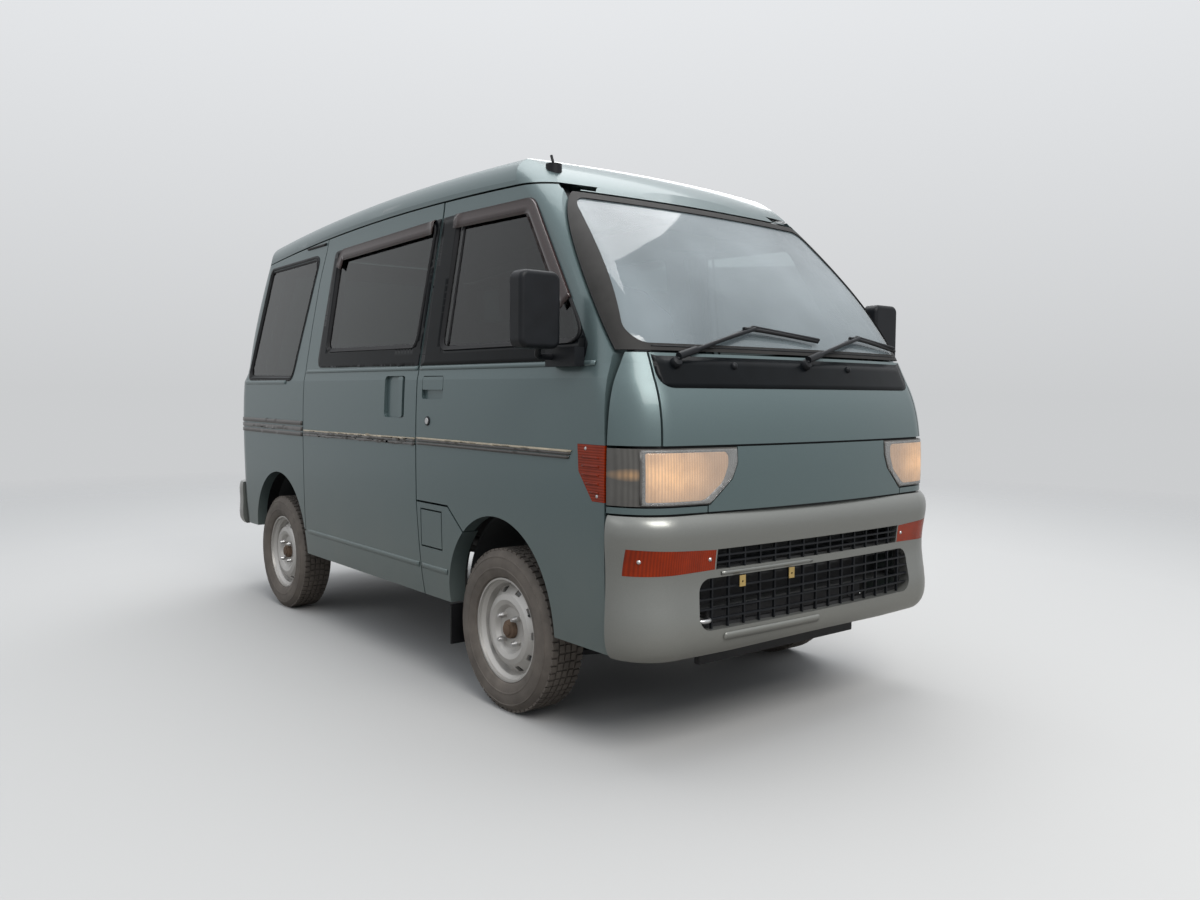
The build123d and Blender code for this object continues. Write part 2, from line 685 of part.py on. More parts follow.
write(nose_piece(UPPER_PANEL, SEAM / 2), "front_upper_panel")
corner_panel = nose_piece(CORNER_PANEL, SEAM / 2)
filler = nose_piece(FILLER, SEAM / 2)
with BuildPart() as corner_panels:
    for piece in (corner_panel, filler):
        add(piece)
        mirror(piece, about=Plane.YZ)
write(corner_panels.part, "front_corner_panels")
lens = nose_piece(LAMP, SEAM / 4)
with BuildPart() as headlights:
    add(lens)
    mirror(lens, about=Plane.YZ)
write(headlights.part, "headlights")
with BuildPart() as nose_panel:
    add(nose_piece(NOSE_PANEL, SEAM / 2))
    for points in (LAMP, FILLER):
        cut = end_prism(points, *FRONT_REACH, -SEAM / 4)
        add(cut, mode=Mode.SUBTRACT)
        mirror(cut, about=Plane.YZ, mode=Mode.SUBTRACT)
write(nose_panel.part, "nose_panel")

# Front bumper, its signals and grille
bumper_solid = bumper_loft(0.0)
with BuildPart() as bumper_zone:
    block(
        -HALF_WIDTH - 20, HALF_WIDTH + 20, NOSE_Y - 20, DOOR_FRONT_Y - DOOR_SEAM / 2,
        BUMPER_BOTTOM_Z, BUMPER_TOP_Z,
    )
with BuildPart() as bumper_wall:
    add(bumper_solid)
    add(bumper_zone.part, mode=Mode.INTERSECT)
    add(skin_in, mode=Mode.SUBTRACT)
SLOT = both_ends([(420, 533), (420, 590)])
SIGNAL = [(-425, 533), (-425, 589), (-678, 602), (-678, 528)]
LOW_OPENING = both_ends([(493, 368), (479, 510)])
signal_hole = end_prism(SIGNAL, *FRONT_REACH)
with BuildPart() as front_bumper:
    add(bumper_wall.part)
    add(end_prism(SLOT, *FRONT_REACH), mode=Mode.SUBTRACT)
    add(end_prism(LOW_OPENING, *FRONT_REACH, round_r=40), mode=Mode.SUBTRACT)
    add(signal_hole, mode=Mode.SUBTRACT)
    mirror(signal_hole, about=Plane.YZ, mode=Mode.SUBTRACT)
write(front_bumper.part, "front_bumper")
with BuildPart() as signal:
    add(bumper_wall.part)
    add(end_prism(SIGNAL, *FRONT_REACH, GLASS_CLEAR), mode=Mode.INTERSECT)
with BuildPart() as bumper_signals:
    add(signal.part)
    mirror(signal.part, about=Plane.YZ)
write(bumper_signals.part, "bumper_signals")
GRILLE_OUT = 12.0
GRILLE_T = 8.0
BAR = 5.0
bow_axis = (0, NOSE_Y + BUMPER_BOW_R)
with BuildPart() as bars:
    with BuildSketch(Plane.XZ.offset(-NOSE_Y - 80)):
        for z in (552, 571, 396, 424, 452, 480):
            with Locations((0, z)):
                Rectangle(1000, BAR)
        for column in range(-7, 8):
            with Locations((column * 62.0, 561), (column * 62.0, 439)):
                Rectangle(BAR, 160)
    extrude(amount=110)
with BuildPart() as grille_openings:
    add(end_prism(SLOT, *FRONT_REACH, GLASS_CLEAR))
    add(end_prism(LOW_OPENING, *FRONT_REACH, GLASS_CLEAR, 40 - GLASS_CLEAR))
with BuildPart() as front_grille:
    with BuildSketch(Plane.XY.offset(360)):
        with Locations(bow_axis):
            Circle(BUMPER_BOW_R - GRILLE_OUT)
            Circle(BUMPER_BOW_R - GRILLE_OUT - GRILLE_T, mode=Mode.SUBTRACT)
        with Locations((0, NOSE_Y)):
            Rectangle(1000, 200, mode=Mode.INTERSECT)
    extrude(amount=240)
    add(bars.part, mode=Mode.INTERSECT)
    add(grille_openings.part, mode=Mode.INTERSECT)
write(front_grille.part, "front_grille")

# Clips for the number plate
PLATE_X = -225.0
PLATE_HOLES = 210.0
PLATE_Z = 492.0
PLATE_HOLE_R = 3.2
CLIP_Y = NOSE_Y + 8.0
with BuildPart() as plate_clips:
    for x in (PLATE_X - PLATE_HOLES / 2, PLATE_X + PLATE_HOLES / 2):
        block(x - 12, x + 12, CLIP_Y, CLIP_Y + 2.5, PLATE_Z - 14, PLATE_Z + 17.7)
        with Locations(Location((x, CLIP_Y, PLATE_Z), (90, 0, 0))):
            Hole(PLATE_HOLE_R)
write(plate_clips.part, "plate_clips")

# Hidden frame that carries the nose's panels
with BuildPart() as frame_zone:
    block(-640, 640, NOSE_Y, DOOR_FRONT_Y - 16, 330, SCREEN_FOOT_Z - 6)
lamp_well = end_prism(LAMP, *FRONT_REACH, 18)
with BuildPart() as nose_frame:
    add(layer(frame_zone.part, skin_in, nose_in))
    add(end_prism(LOW_OPENING, *FRONT_REACH, 10), mode=Mode.SUBTRACT)
    add(end_prism(SLOT, *FRONT_REACH, 6), mode=Mode.SUBTRACT)
    add(lamp_well, mode=Mode.SUBTRACT)
    mirror(lamp_well, about=Plane.YZ, mode=Mode.SUBTRACT)
write(nose_frame.part, "nose_frame")

# Rear bumper
REAR_ROWS = [  # height, side tuck, tail set-back, corner r
    (345.0, 24.0, 30.0, 130.0),
    (370.0, 8.0, 4.0, 150.0),
    (400.0, 4.5, 0.0, 155.0),
    (520.0, 4.5, 2.0, 155.0),
    (TAILGATE_BOTTOM_Z - 4, 8.0, 18.0, 150.0),
]
REAR_BUMPER_FOOT_Z = REAR_ROWS[0][0]
REAR_BUMPER_TOP_Z = REAR_ROWS[-1][0]
REAR_BUMPER_T = 14.0


with BuildPart() as rear_solid:
    for z, tuck, tail_back, tail_r in REAR_ROWS:
        with BuildSketch(Plane.XY.offset(z)):
            with BuildLine():
                plan_outline(
                    HALF_WIDTH - tuck, TAIL_Y - 1200, TAIL_Y - tail_back,
                    150.0, tail_r, 0.0, NOSE_BOW_R,
                )
            make_face()
    loft()
with BuildPart() as rear_core:
    foot_z, tuck, tail_back, tail_r = REAR_ROWS[0]
    with BuildSketch(Plane.XY.offset(foot_z - 1)):
        with BuildLine():
            plan_outline(
                HALF_WIDTH - tuck, TAIL_Y - 1200, TAIL_Y - tail_back,
                150.0, tail_r, REAR_BUMPER_T, NOSE_BOW_R,
            )
        make_face()
    extrude(amount=REAR_BUMPER_TOP_Z - REAR_BUMPER_T - foot_z + 1)
with BuildPart() as rear_bumper:
    block(
        -HALF_WIDTH - 20, HALF_WIDTH + 20, TAIL_Y - 210 + SEAM / 2, TAIL_Y + 20,
        REAR_BUMPER_FOOT_Z, REAR_BUMPER_TOP_Z,
    )
    add(rear_solid.part, mode=Mode.INTERSECT)
    add(door_in, mode=Mode.SUBTRACT)
    add(rear_core.part, mode=Mode.SUBTRACT)
write(rear_bumper.part, "rear_bumper")

# Floor: cab floor, seat box over the front wheels and engine, load floor, wheelhouses
FLOOR_T = 8.0
CAB_FLOOR_Z = 404.0
BOX_TOP_Z = 646.0
LOAD_FLOOR_Z = 572.0
FLOOR_HALF = 590.0
BOX_FRONT_Y = FRONT_ARCH[0] - 332.0
BOX_REAR_Y = B_SEAM_Y - 30.0
HOUSE_CLEAR = 8.0
HOUSE_IN_FRONT = 382.0
HOUSE_IN_REAR = 480.0
FLOOR_TAIL_Y = TAIL_Y - 180.0


def house_space(arch, near, side):
    """Round space that a wheelhouse takes out of the floor."""
    y, z, r = arch
    with BuildPart() as space:
        with BuildSketch(Plane.YZ.offset(side * (near + 1))):
            with Locations((y, z)):
                Circle(r + HOUSE_CLEAR + 1)
        extrude(amount=side * 400)
    return space.part


def wheelhouse(arch, near, side):
    """Half-round shell over a wheel with its inner wall."""
    y, z, r = arch
    ring = r + HOUSE_CLEAR
    with BuildPart() as house:
        with BuildSketch(Plane.YZ.offset(side * near)):
            with Locations((y, z)):
                Circle(ring + FLOOR_T)
                Rectangle(4 * ring, 2 * ring, align=(Align.CENTER, Align.MAX), mode=Mode.SUBTRACT)
        extrude(amount=side * (FLOOR_HALF - near))
        with BuildSketch(Plane.YZ.offset(side * (near + FLOOR_T))):
            with Locations((y, z)):
                Circle(ring)
        extrude(amount=side * 400, mode=Mode.SUBTRACT)
    return house.part


with BuildPart() as cab_floor:
    block(-FLOOR_HALF, FLOOR_HALF, NOSE_Y + 110, BOX_FRONT_Y, CAB_FLOOR_Z - FLOOR_T, CAB_FLOOR_Z)
    block(-FLOOR_HALF, FLOOR_HALF, BOX_FRONT_Y - FLOOR_T, BOX_FRONT_Y, CAB_FLOOR_Z, BOX_TOP_Z)
    block(-FLOOR_HALF, FLOOR_HALF, BOX_FRONT_Y, BOX_REAR_Y, BOX_TOP_Z - FLOOR_T, BOX_TOP_Z)
    block(-FLOOR_HALF, FLOOR_HALF, BOX_REAR_Y - FLOOR_T, BOX_REAR_Y, LOAD_FLOOR_Z - FLOOR_T, BOX_TOP_Z)
    for side in (-1, 1):
        add(house_space(FRONT_ARCH, HOUSE_IN_FRONT, side), mode=Mode.SUBTRACT)
        add(wheelhouse(FRONT_ARCH, HOUSE_IN_FRONT, side))
write(cab_floor.part, "cab_floor")
with BuildPart() as load_floor:
    block(-FLOOR_HALF, FLOOR_HALF, BOX_REAR_Y, FLOOR_TAIL_Y, LOAD_FLOOR_Z - FLOOR_T, LOAD_FLOOR_Z)
    for side in (-1, 1):
        add(house_space(REAR_ARCH, HOUSE_IN_REAR, side), mode=Mode.SUBTRACT)
        add(wheelhouse(REAR_ARCH, HOUSE_IN_REAR, side), mode=Mode.SUBTRACT)
write(load_floor.part, "load_floor")
with BuildPart() as rear_wheelhouses:
    for side in (-1, 1):
        add(wheelhouse(REAR_ARCH, HOUSE_IN_REAR, side))
write(rear_wheelhouses.part, "rear_wheelhouses")

# Ladder frame
RAIL_IN = 300.0
RAIL_OUT = 360.0
RAIL_SIDE = [
    (NOSE_Y + 120, CAB_FLOOR_Z - FLOOR_T - 70),
    (B_SEAM_Y - 90, CAB_FLOOR_Z - FLOOR_T - 70),
    (B_SEAM_Y + 60, LOAD_FLOOR_Z - FLOOR_T - 70),
    (FLOOR_TAIL_Y - 20, LOAD_FLOOR_Z - FLOOR_T - 70),
    (FLOOR_TAIL_Y - 20, LOAD_FLOOR_Z - FLOOR_T),
    (B_SEAM_Y + 20, LOAD_FLOOR_Z - FLOOR_T),
    (B_SEAM_Y - 130, CAB_FLOOR_Z - FLOOR_T),
    (NOSE_Y + 120, CAB_FLOOR_Z - FLOOR_T),
]
with BuildPart() as frame_rails:
    for side in (-1, 1):
        with BuildSketch(Plane.YZ.offset(side * RAIL_IN)):
            with BuildLine():
                Polyline(*RAIL_SIDE, close=True)
            make_face()
        extrude(amount=side * (RAIL_OUT - RAIL_IN))
    for y, z in (
        (NOSE_Y + 150, CAB_FLOOR_Z - FLOOR_T - 35),
        (FRONT_AXLE_Y - 200, CAB_FLOOR_Z - FLOOR_T - 35),
        (B_SEAM_Y + 140, LOAD_FLOOR_Z - FLOOR_T - 35),
        (REAR_AXLE_Y - 420, LOAD_FLOOR_Z - FLOOR_T - 35),
        (FLOOR_TAIL_Y - 50, LOAD_FLOOR_Z - FLOOR_T - 35),
    ):
        block(-RAIL_IN, RAIL_IN, y - 25, y + 25, z - 25, z + 25)
write(frame_rails.part, "frame_rails")

# Engine under the seats, as one block
ENGINE_HALF = 210.0
with BuildPart() as engine_block:
    block(-ENGINE_HALF, ENGINE_HALF, FRONT_AXLE_Y - 120, FRONT_AXLE_Y + 340, 290, 590)
write(engine_block.part, "engine_block")

# Fuel tank and exhaust
with BuildPart() as fuel_tank:
    block(70, 290, B_SEAM_Y + 180, REAR_AXLE_Y - 460, 330, 490)
    fillet(fuel_tank.edges(), radius=25)
write(fuel_tank.part, "fuel_tank")
EXHAUST_X = -235.0
EXHAUST_Z = 400.0
PIPE_R = 19.0
SILENCER_R = 62.0
SILENCER_Y = REAR_AXLE_Y + 396
pipe_start = FRONT_AXLE_Y + 225
with BuildPart() as exhaust:
    with Locations(Location((EXHAUST_X, (pipe_start + SILENCER_Y) / 2, EXHAUST_Z), (90, 0, 0))):
        Cylinder(PIPE_R, SILENCER_Y - pipe_start)
    block(EXHAUST_X, -ENGINE_HALF - 0.3, pipe_start, pipe_start + 50, EXHAUST_Z - 15, EXHAUST_Z + 15)
    with Locations(Location((EXHAUST_X, SILENCER_Y, EXHAUST_Z - 28), (90, 0, 0))):
        Cylinder(SILENCER_R, 200)
    with Locations(Location((EXHAUST_X, SILENCER_Y + 165, EXHAUST_Z - 73), (90, 0, 0))):
        Cylinder(13, 170)
write(exhaust.part, "exhaust")

# Rear axle with leaf springs, propeller shaft
AXLE_TUBE_R = 32.0
DIFF_R = 105.0
SPRING_X = 330.0
SPRING_W = 50.0
SPRING_HALF = 430.0
with BuildPart() as rear_axle:
    with Locations(Location((0, REAR_AXLE_Y, TYRE_R), (0, 90, 0))):
        Cylinder(AXLE_TUBE_R, TRACK - 2 * 70)
        Cylinder(DIFF_R, 130)
        Cylinder(STUB_R, TRACK + 2 * 36)
    for side in (-1, 1):
        with BuildSketch(Plane.YZ.offset(side * SPRING_X - SPRING_W / 2)):
            with BuildLine():
                ThreePointArc(
                    (REAR_AXLE_Y - SPRING_HALF, 400), (REAR_AXLE_Y, TYRE_R + 32),
                    (REAR_AXLE_Y + SPRING_HALF, 400),
                )
                Line((REAR_AXLE_Y + SPRING_HALF, 400), (REAR_AXLE_Y + SPRING_HALF, 416))
                ThreePointArc(
                    (REAR_AXLE_Y + SPRING_HALF, 416), (REAR_AXLE_Y, TYRE_R + 60),
                    (REAR_AXLE_Y - SPRING_HALF, 416),
                )
                Line((REAR_AXLE_Y - SPRING_HALF, 416), (REAR_AXLE_Y - SPRING_HALF, 400))
            make_face()
        extrude(amount=SPRING_W)
        for end in (-1, 1):
            y = REAR_AXLE_Y + end * (SPRING_HALF - 15)
            block(
                side * SPRING_X - 12, side * SPRING_X + 12, y - 20, y + 20,
                404, LOAD_FLOOR_Z - FLOOR_T - 70,
            )
write(rear_axle.part, "rear_axle")
SHAFT_R = 26.0
with BuildPart() as propshaft:
    start = Vector(0, FRONT_AXLE_Y + 342, 360)
    end = Vector(0, REAR_AXLE_Y - DIFF_R - 2, TYRE_R + 10)
    with BuildSketch(Plane(origin=start, z_dir=end - start)):
        Circle(SHAFT_R)
    extrude(amount=(end - start).length)
write(propshaft.part, "propshaft")

# Wheels
with BuildPart() as tyre:
    with BuildSketch(Plane.XZ):
        half = TYRE_WIDTH / 2
        with BuildLine():
            Polyline(
                (-half + 20, TYRE_R), (half - 20, TYRE_R), (half - 3, TYRE_R - 26), (half, TYRE_R - 50),
                (half - 22, RIM_R + 1), (-half + 22, RIM_R + 1), (-half, TYRE_R - 50),
                (-half + 3, TYRE_R - 26), close=True,
            )
        make_face()
    revolve(axis=Axis.X)

DISC_X = 30.0
with BuildPart() as rim:
    half = RIM_WIDTH / 2
    with BuildSketch(Plane.XZ):
        with BuildLine():
            Polyline(
                (-half, RIM_R), (-half, RIM_R - 6), (-half + 12, RIM_R - 14), (-10, RIM_R - 30),
                (half - 22, RIM_R - 18), (half - 10, RIM_R - 8), (half, RIM_R - 6), (half, RIM_R),
                close=True,
            )
        make_face()
        with BuildLine():
            Polyline(
                (-2, RIM_R - 24), (14, RIM_R - 20), (22, RIM_R - 30), (46, 112), (50, 95), (44, 80),
                (DISC_X, 68), (DISC_X, HUB_BORE_R), (DISC_X - 5, HUB_BORE_R), (DISC_X - 5, 70),
                (38, 84), (44, 95), (40, 110), (14, RIM_R - 34), (-2, RIM_R - 34), close=True,
            )
        make_face()
    revolve(axis=Axis.X)
    with BuildSketch(Plane.YZ.offset(DISC_X)):
        with PolarLocations(NUT_CIRCLE_R, NUT_COUNT, 45):
            RegularPolygon(10, 6)
    extrude(amount=14)
    with BuildSketch(Plane.YZ.offset(-20)):
        with PolarLocations(VENT_R, VENT_COUNT):
            Trapezoid(30, 17, 78, rotation=90)
    extrude(amount=100, mode=Mode.SUBTRACT)

CORNERS = [
    ("front_right", -1, FRONT_AXLE_Y),
    ("front_left", 1, FRONT_AXLE_Y),
    ("rear_right", -1, REAR_AXLE_Y),
    ("rear_left", 1, REAR_AXLE_Y),
]
for name, side, y in CORNERS:
    spin = 180 if side < 0 else 0
    for kind, piece in (("tyre", tyre.part), ("rim", rim.part)):
        with BuildPart() as placed:
            with Locations(Location((side * TRACK / 2, y, TYRE_R), (0, 0, spin))):
                add(piece)
        write(placed.part, f"{kind}_{name}")

# Knuckles, turning about an upright axis beside the wheel
KINGPIN_X = 560.0
CARRIER_HALF_H = 85.0
STRUT_X = 484.0
STRUT_R = 24.0
STEER_CLEAR = 0.3
knuckle_top = TYRE_R + CARRIER_HALF_H
knuckle_foot = TYRE_R - CARRIER_HALF_H
for name, side in (("right", -1), ("left", 1)):
    x = side * KINGPIN_X
    stub = (KINGPIN_X + TRACK / 2 + 36) / 2
    with BuildPart() as knuckle:
        with Locations((x, FRONT_AXLE_Y, TYRE_R)):
            Cylinder(26, 2 * CARRIER_HALF_H)
        with Locations(Location((side * stub, FRONT_AXLE_Y, TYRE_R), (0, 90, 0))):
            Cylinder(STUB_R, TRACK / 2 + 36 - KINGPIN_X)
        block(x - 8, x + 8, FRONT_AXLE_Y, FRONT_AXLE_Y + 110, TYRE_R - 50, TYRE_R - 30)
        block(side * (STRUT_X - 26), x, FRONT_AXLE_Y - 20, FRONT_AXLE_Y + 20, knuckle_top - 22, knuckle_top)
    write(knuckle.part, f"knuckle_{name}")

ARM_T = 16.0
ARM_IN = 250.0
rail_bottom = CAB_FLOOR_Z - FLOOR_T - 70
strut_top = FRONT_ARCH[1] + FRONT_ARCH[2] + HOUSE_CLEAR - 3
with BuildPart() as front_suspension:
    block(-ARM_IN, ARM_IN, FRONT_AXLE_Y - 170, FRONT_AXLE_Y - 130, 230, 290)
    for side in (-1, 1):
        x = side * KINGPIN_X
        with BuildSketch(Plane.XY.offset(knuckle_foot - STEER_CLEAR - ARM_T)):
            with BuildLine():
                Polyline(
                    (x, FRONT_AXLE_Y - 22), (x, FRONT_AXLE_Y + 22),
                    (side * ARM_IN, FRONT_AXLE_Y + 40), (side * ARM_IN, FRONT_AXLE_Y - 170), close=True,
                )
            make_face()
        extrude(amount=ARM_T)
        block(side * ARM_IN, side * (ARM_IN + 40), FRONT_AXLE_Y - 170, FRONT_AXLE_Y + 40,
              knuckle_foot - STEER_CLEAR - ARM_T, 300)
        block(
            side * (ARM_IN + 20), side * 340, FRONT_AXLE_Y - 170, FRONT_AXLE_Y + 40,
            270, rail_bottom - STEER_CLEAR,
        )
        foot = knuckle_top + STEER_CLEAR
        with Locations((side * STRUT_X, FRONT_AXLE_Y, (foot + strut_top) / 2)):
            Cylinder(STRUT_R, strut_top - foot)
write(front_suspension.part, "front_suspension")

# Mud flaps behind the wheels
FLAP_T = 6.0
FLAP_BACK = 308.0
FRONT_FLAP = [(535, 150), (672, 150), (672, 288), (598, 288), (598, 363), (535, 363)]
REAR_FLAP = [(535, 185), (640, 185), (640, 340), (612, 340), (612, 380), (535, 380)]
with BuildPart() as mud_flaps:
    for arch, outline in ((FRONT_ARCH, FRONT_FLAP), (REAR_ARCH, REAR_FLAP)):
        back = arch[0] + FLAP_BACK
        for points in (outline, [flip(point) for point in outline]):
            add(end_prism(points, back - FLAP_T, back))
write(mud_flaps.part, "mud_flaps")

# Inside
DASH_HALF = 545.0
with BuildPart() as dashboard:
    with BuildSketch(Plane.YZ.offset(-DASH_HALF)):
        with BuildLine():
            Polyline(
                (NOSE_Y + 165, 1085), (NOSE_Y + 300, 1070), (NOSE_Y + 345, 1010), (NOSE_Y + 330, 850),
                (NOSE_Y + 250, 780), (NOSE_Y + 165, 780), close=True,
            )
        make_face()
    extrude(amount=2 * DASH_HALF)
write(dashboard.part, "dashboard")
WHEEL_X = -300.0
WHEEL_Y = FRONT_AXLE_Y - 235
WHEEL_Z = 1040.0
WHEEL_TILT = 42.0
wheel_turn = radians(WHEEL_TILT)
tilted = Plane(
    origin=(WHEEL_X, WHEEL_Y, WHEEL_Z), x_dir=(1, 0, 0), z_dir=(0, sin(wheel_turn), cos(wheel_turn))
)
with BuildPart() as steering_wheel:
    with BuildSketch(Plane(origin=tilted.origin, x_dir=tilted.x_dir, z_dir=tilted.y_dir)):
        with Locations((180, 0)):
            RegularPolygon(14, 8)
    revolve(axis=Axis(tilted.origin, tilted.z_dir))
    with Locations(tilted):
        Cylinder(45, 40)
        Box(350, 24, 12)
        with Locations((0, 0, -110)):
            Cylinder(20, 190)
write(steering_wheel.part, "steering_wheel")


def seat(x, width, front_y, base_z, cushion_h, back_top, headrest):
    """Cushion, back and headrest of one seat."""
    with BuildPart() as chair:
        block(x - width / 2, x + width / 2, front_y, front_y + 480, base_z, base_z + cushion_h)
        with BuildSketch(Plane.YZ.offset(x - width / 2)):
            with BuildLine():
                Polyline(
                    (front_y + 430, base_z + cushion_h - 20), (front_y + 540, base_z + cushion_h - 20),
                    (front_y + 640, back_top), (front_y + 560, back_top), close=True,
                )
            make_face()
        extrude(amount=width)
        if headrest:
            block(x - 120, x + 120, front_y + 570, front_y + 640, back_top - 10, back_top + 170)
    return chair.part


with BuildPart() as front_seats:
    for x in (-305, 305):
        add(seat(x, 470, FRONT_AXLE_Y - 190, BOX_TOP_Z, 120, 1290, True))
write(front_seats.part, "front_seats")
write(seat(0, 1100, B_SEAM_Y + 500, LOAD_FLOOR_Z, 230, 1240, False), "rear_bench")

# Wipers, standing clear of the surface
WIPER_R = 5.0
WIPER_PROUD = 15.0
WIPERS = [  # pivot, elbow and tip as width and height
    ((-500, 1106), (-165, 1214), (117, 1186)),
    ((13, 1108), (343, 1205), (560, 1176)),
]
with BuildPart() as wipers:
    for pivot, *rest in WIPERS:
        x, z = pivot
        foot = Vector(x, screen_y(x, z), z) + Vector(0, -0.85, 0.5) * 3
        path = [foot, foot + Vector(0, -0.85, 0.5) * WIPER_PROUD]
        path += [Vector(px, screen_y(px, pz) - WIPER_PROUD, pz + 4) for px, pz in rest]
        with BuildLine() as arm:
            Polyline(*path)
        with BuildSketch(Plane(origin=arm.line @ 0, z_dir=arm.line % 0)):
            Circle(WIPER_R)
        sweep(transition=Transition.ROUND)
write(wipers.part, "wipers")

# Mirrors: head, bent tube arm and foot on the door
MIRROR_Z = 1247.0
MIRROR_Y = NOSE_Y + 367.5
MIRROR_X = -792.0
MIRROR_TUBE_R = 9.0
foot_y, foot_z = MIRROR_Y + 35, 1120.0
with BuildPart() as mirror_right:
    with Locations((MIRROR_X, MIRROR_Y, MIRROR_Z)):
        Box(136, 54, 214)
    fillet(mirror_right.edges().filter_by(Axis.Y), radius=26)
    fillet(mirror_right.faces().sort_by(Axis.Y)[0].edges(), radius=14)
    block(-714, -680, MIRROR_Y - 75, MIRROR_Y + 65, 1093, 1146)
    with BuildLine() as tube:
        FilletPolyline(
            (-706, foot_y, foot_z), (-764, foot_y, foot_z),
            (MIRROR_X + 12, MIRROR_Y + 4, MIRROR_Z - 100), radius=22,
        )
    with BuildSketch(Plane(origin=tube.line @ 0, z_dir=tube.line % 0)):
        Circle(MIRROR_TUBE_R)
    sweep()
    add(outer, mode=Mode.SUBTRACT)
write(mirror_right.part, "mirror_right")
write(mirrored(mirror_right.part), "mirror_left")

# Aerial foot
with BuildPart() as antenna_base:
    with Locations((-500, NOSE_Y + 690, 1718)):
        Cylinder(26, 50)
    add(outer, mode=Mode.SUBTRACT)
write(antenna_base.part, "antenna_base")
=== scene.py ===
import json
import math

import bmesh
import bpy
from mathutils import Matrix, Vector
from mathutils.bvhtree import BVHTree
from mathutils.geometry import delaunay_2d_cdt


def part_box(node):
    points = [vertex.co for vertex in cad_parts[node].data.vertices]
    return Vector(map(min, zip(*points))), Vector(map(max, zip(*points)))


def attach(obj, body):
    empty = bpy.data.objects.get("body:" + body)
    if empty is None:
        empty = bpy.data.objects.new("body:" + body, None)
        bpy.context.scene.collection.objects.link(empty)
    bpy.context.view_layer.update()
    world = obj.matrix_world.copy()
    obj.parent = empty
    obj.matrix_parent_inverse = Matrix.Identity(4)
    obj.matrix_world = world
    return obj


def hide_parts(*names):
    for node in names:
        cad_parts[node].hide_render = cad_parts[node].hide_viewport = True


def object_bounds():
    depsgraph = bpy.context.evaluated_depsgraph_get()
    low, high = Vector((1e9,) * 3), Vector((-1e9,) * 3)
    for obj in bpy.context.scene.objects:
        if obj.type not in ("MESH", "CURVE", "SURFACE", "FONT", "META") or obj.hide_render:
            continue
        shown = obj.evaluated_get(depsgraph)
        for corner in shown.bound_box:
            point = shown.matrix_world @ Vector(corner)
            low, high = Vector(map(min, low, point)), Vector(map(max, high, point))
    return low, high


bl_info = {
    "name": "Small Van Dresser",
    "version": (1, 0, 0),
    "blender": (4, 5, 0),
    "location": "3D View > Sidebar > Van",
    "description": "Paint, glass, lamps, trim and seats for a small cab-over van",
    "category": "Object",
}

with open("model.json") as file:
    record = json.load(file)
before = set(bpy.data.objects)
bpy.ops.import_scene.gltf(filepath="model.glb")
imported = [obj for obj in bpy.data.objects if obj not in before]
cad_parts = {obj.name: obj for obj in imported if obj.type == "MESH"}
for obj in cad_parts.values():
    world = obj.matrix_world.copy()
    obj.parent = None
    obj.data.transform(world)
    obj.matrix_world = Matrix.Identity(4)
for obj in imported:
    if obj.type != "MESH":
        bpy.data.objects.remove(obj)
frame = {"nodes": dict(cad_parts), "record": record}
CAD_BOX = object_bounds()
NODES = frame["nodes"]
BODY_OF = {node: body for body, nodes in frame["record"]["behaviour"]["bodies"].items() for node in nodes}
LEFT, RIGHT = 1, -1
SIDES = ((LEFT, "left"), (RIGHT, "right"))
FRONT_AXLE_Y = sum(c[1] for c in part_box("rim_front_left")) / 2
REAR_AXLE_Y = sum(c[1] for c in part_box("rim_rear_left")) / 2
TRACK_HALF = sum(c[0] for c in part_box("tyre_front_left")) / 2
TYRE_R = (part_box("tyre_front_left")[1][2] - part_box("tyre_front_left")[0][2]) / 2
TYRE_HALF_W = (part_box("tyre_front_left")[1][0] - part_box("tyre_front_left")[0][0]) / 2
NOSE_Y = CAD_BOX[0][1]
TAIL_Y = CAD_BOX[1][1]


# Sizes and colours that a user would change

def colour(name, default, note):
    return bpy.props.FloatVectorProperty(
        name=name, description=note, default=default, size=3, subtype="COLOR", min=0, max=1
    )


def metres(name, default, note):
    return bpy.props.FloatProperty(name=name, description=note, default=default, unit="LENGTH", min=0)


class VanPaint(bpy.types.PropertyGroup):
    body: colour("Body", (0.098, 0.138, 0.141), "Metallic blue-green of the panels")
    bumper: colour("Bumpers", (0.235, 0.240, 0.225), "Paler silver green of the bumpers")
    dust: colour("Dust", (0.33, 0.31, 0.26), "Road dust low on the panels")
    wheel: colour("Wheels", (0.58, 0.57, 0.55), "Silver steel of the wheels")
    rubber: colour("Rubber", (0.009, 0.009, 0.010), "Seals and trim")
    tyre: colour("Tyres", (0.115, 0.099, 0.085), "Worn tyre rubber")
    amber: colour("Amber", (0.30, 0.024, 0.0005), "Signal lenses")
    red: colour("Red", (0.50, 0.02, 0.02), "Tail lamp lenses")
    cloth: colour("Cloth", (0.060, 0.060, 0.066), "Seat cloth")
    visor: colour("Visors", (0.030, 0.012, 0.011), "Brown tint of the rain visors")


class VanSizes(bpy.types.PropertyGroup):
    band_lift: metres("Band lift", 0.0016, "How far the window bands stand off the panels")
    stripe_lift: metres("Stripe lift", 0.0036, "How far the side stripes stand off the panels")
    seal_width: metres("Seal width", 0.016, "Width of the quarter window's seal")
    tread_depth: metres("Tread depth", 0.006, "Depth of the tyre grooves")


# Materials

def new_material(name):
    material = bpy.data.materials.new(name)
    material.use_nodes = True
    nodes = material.node_tree.nodes
    return material, nodes, material.node_tree.links, nodes["Principled BSDF"]


def group_node(material, group, **values):
    node = material.node_tree.nodes.new("ShaderNodeGroup")
    node.node_tree = group
    for key, value in values.items():
        node.inputs[key.replace("_", " ")].default_value = value
    return node


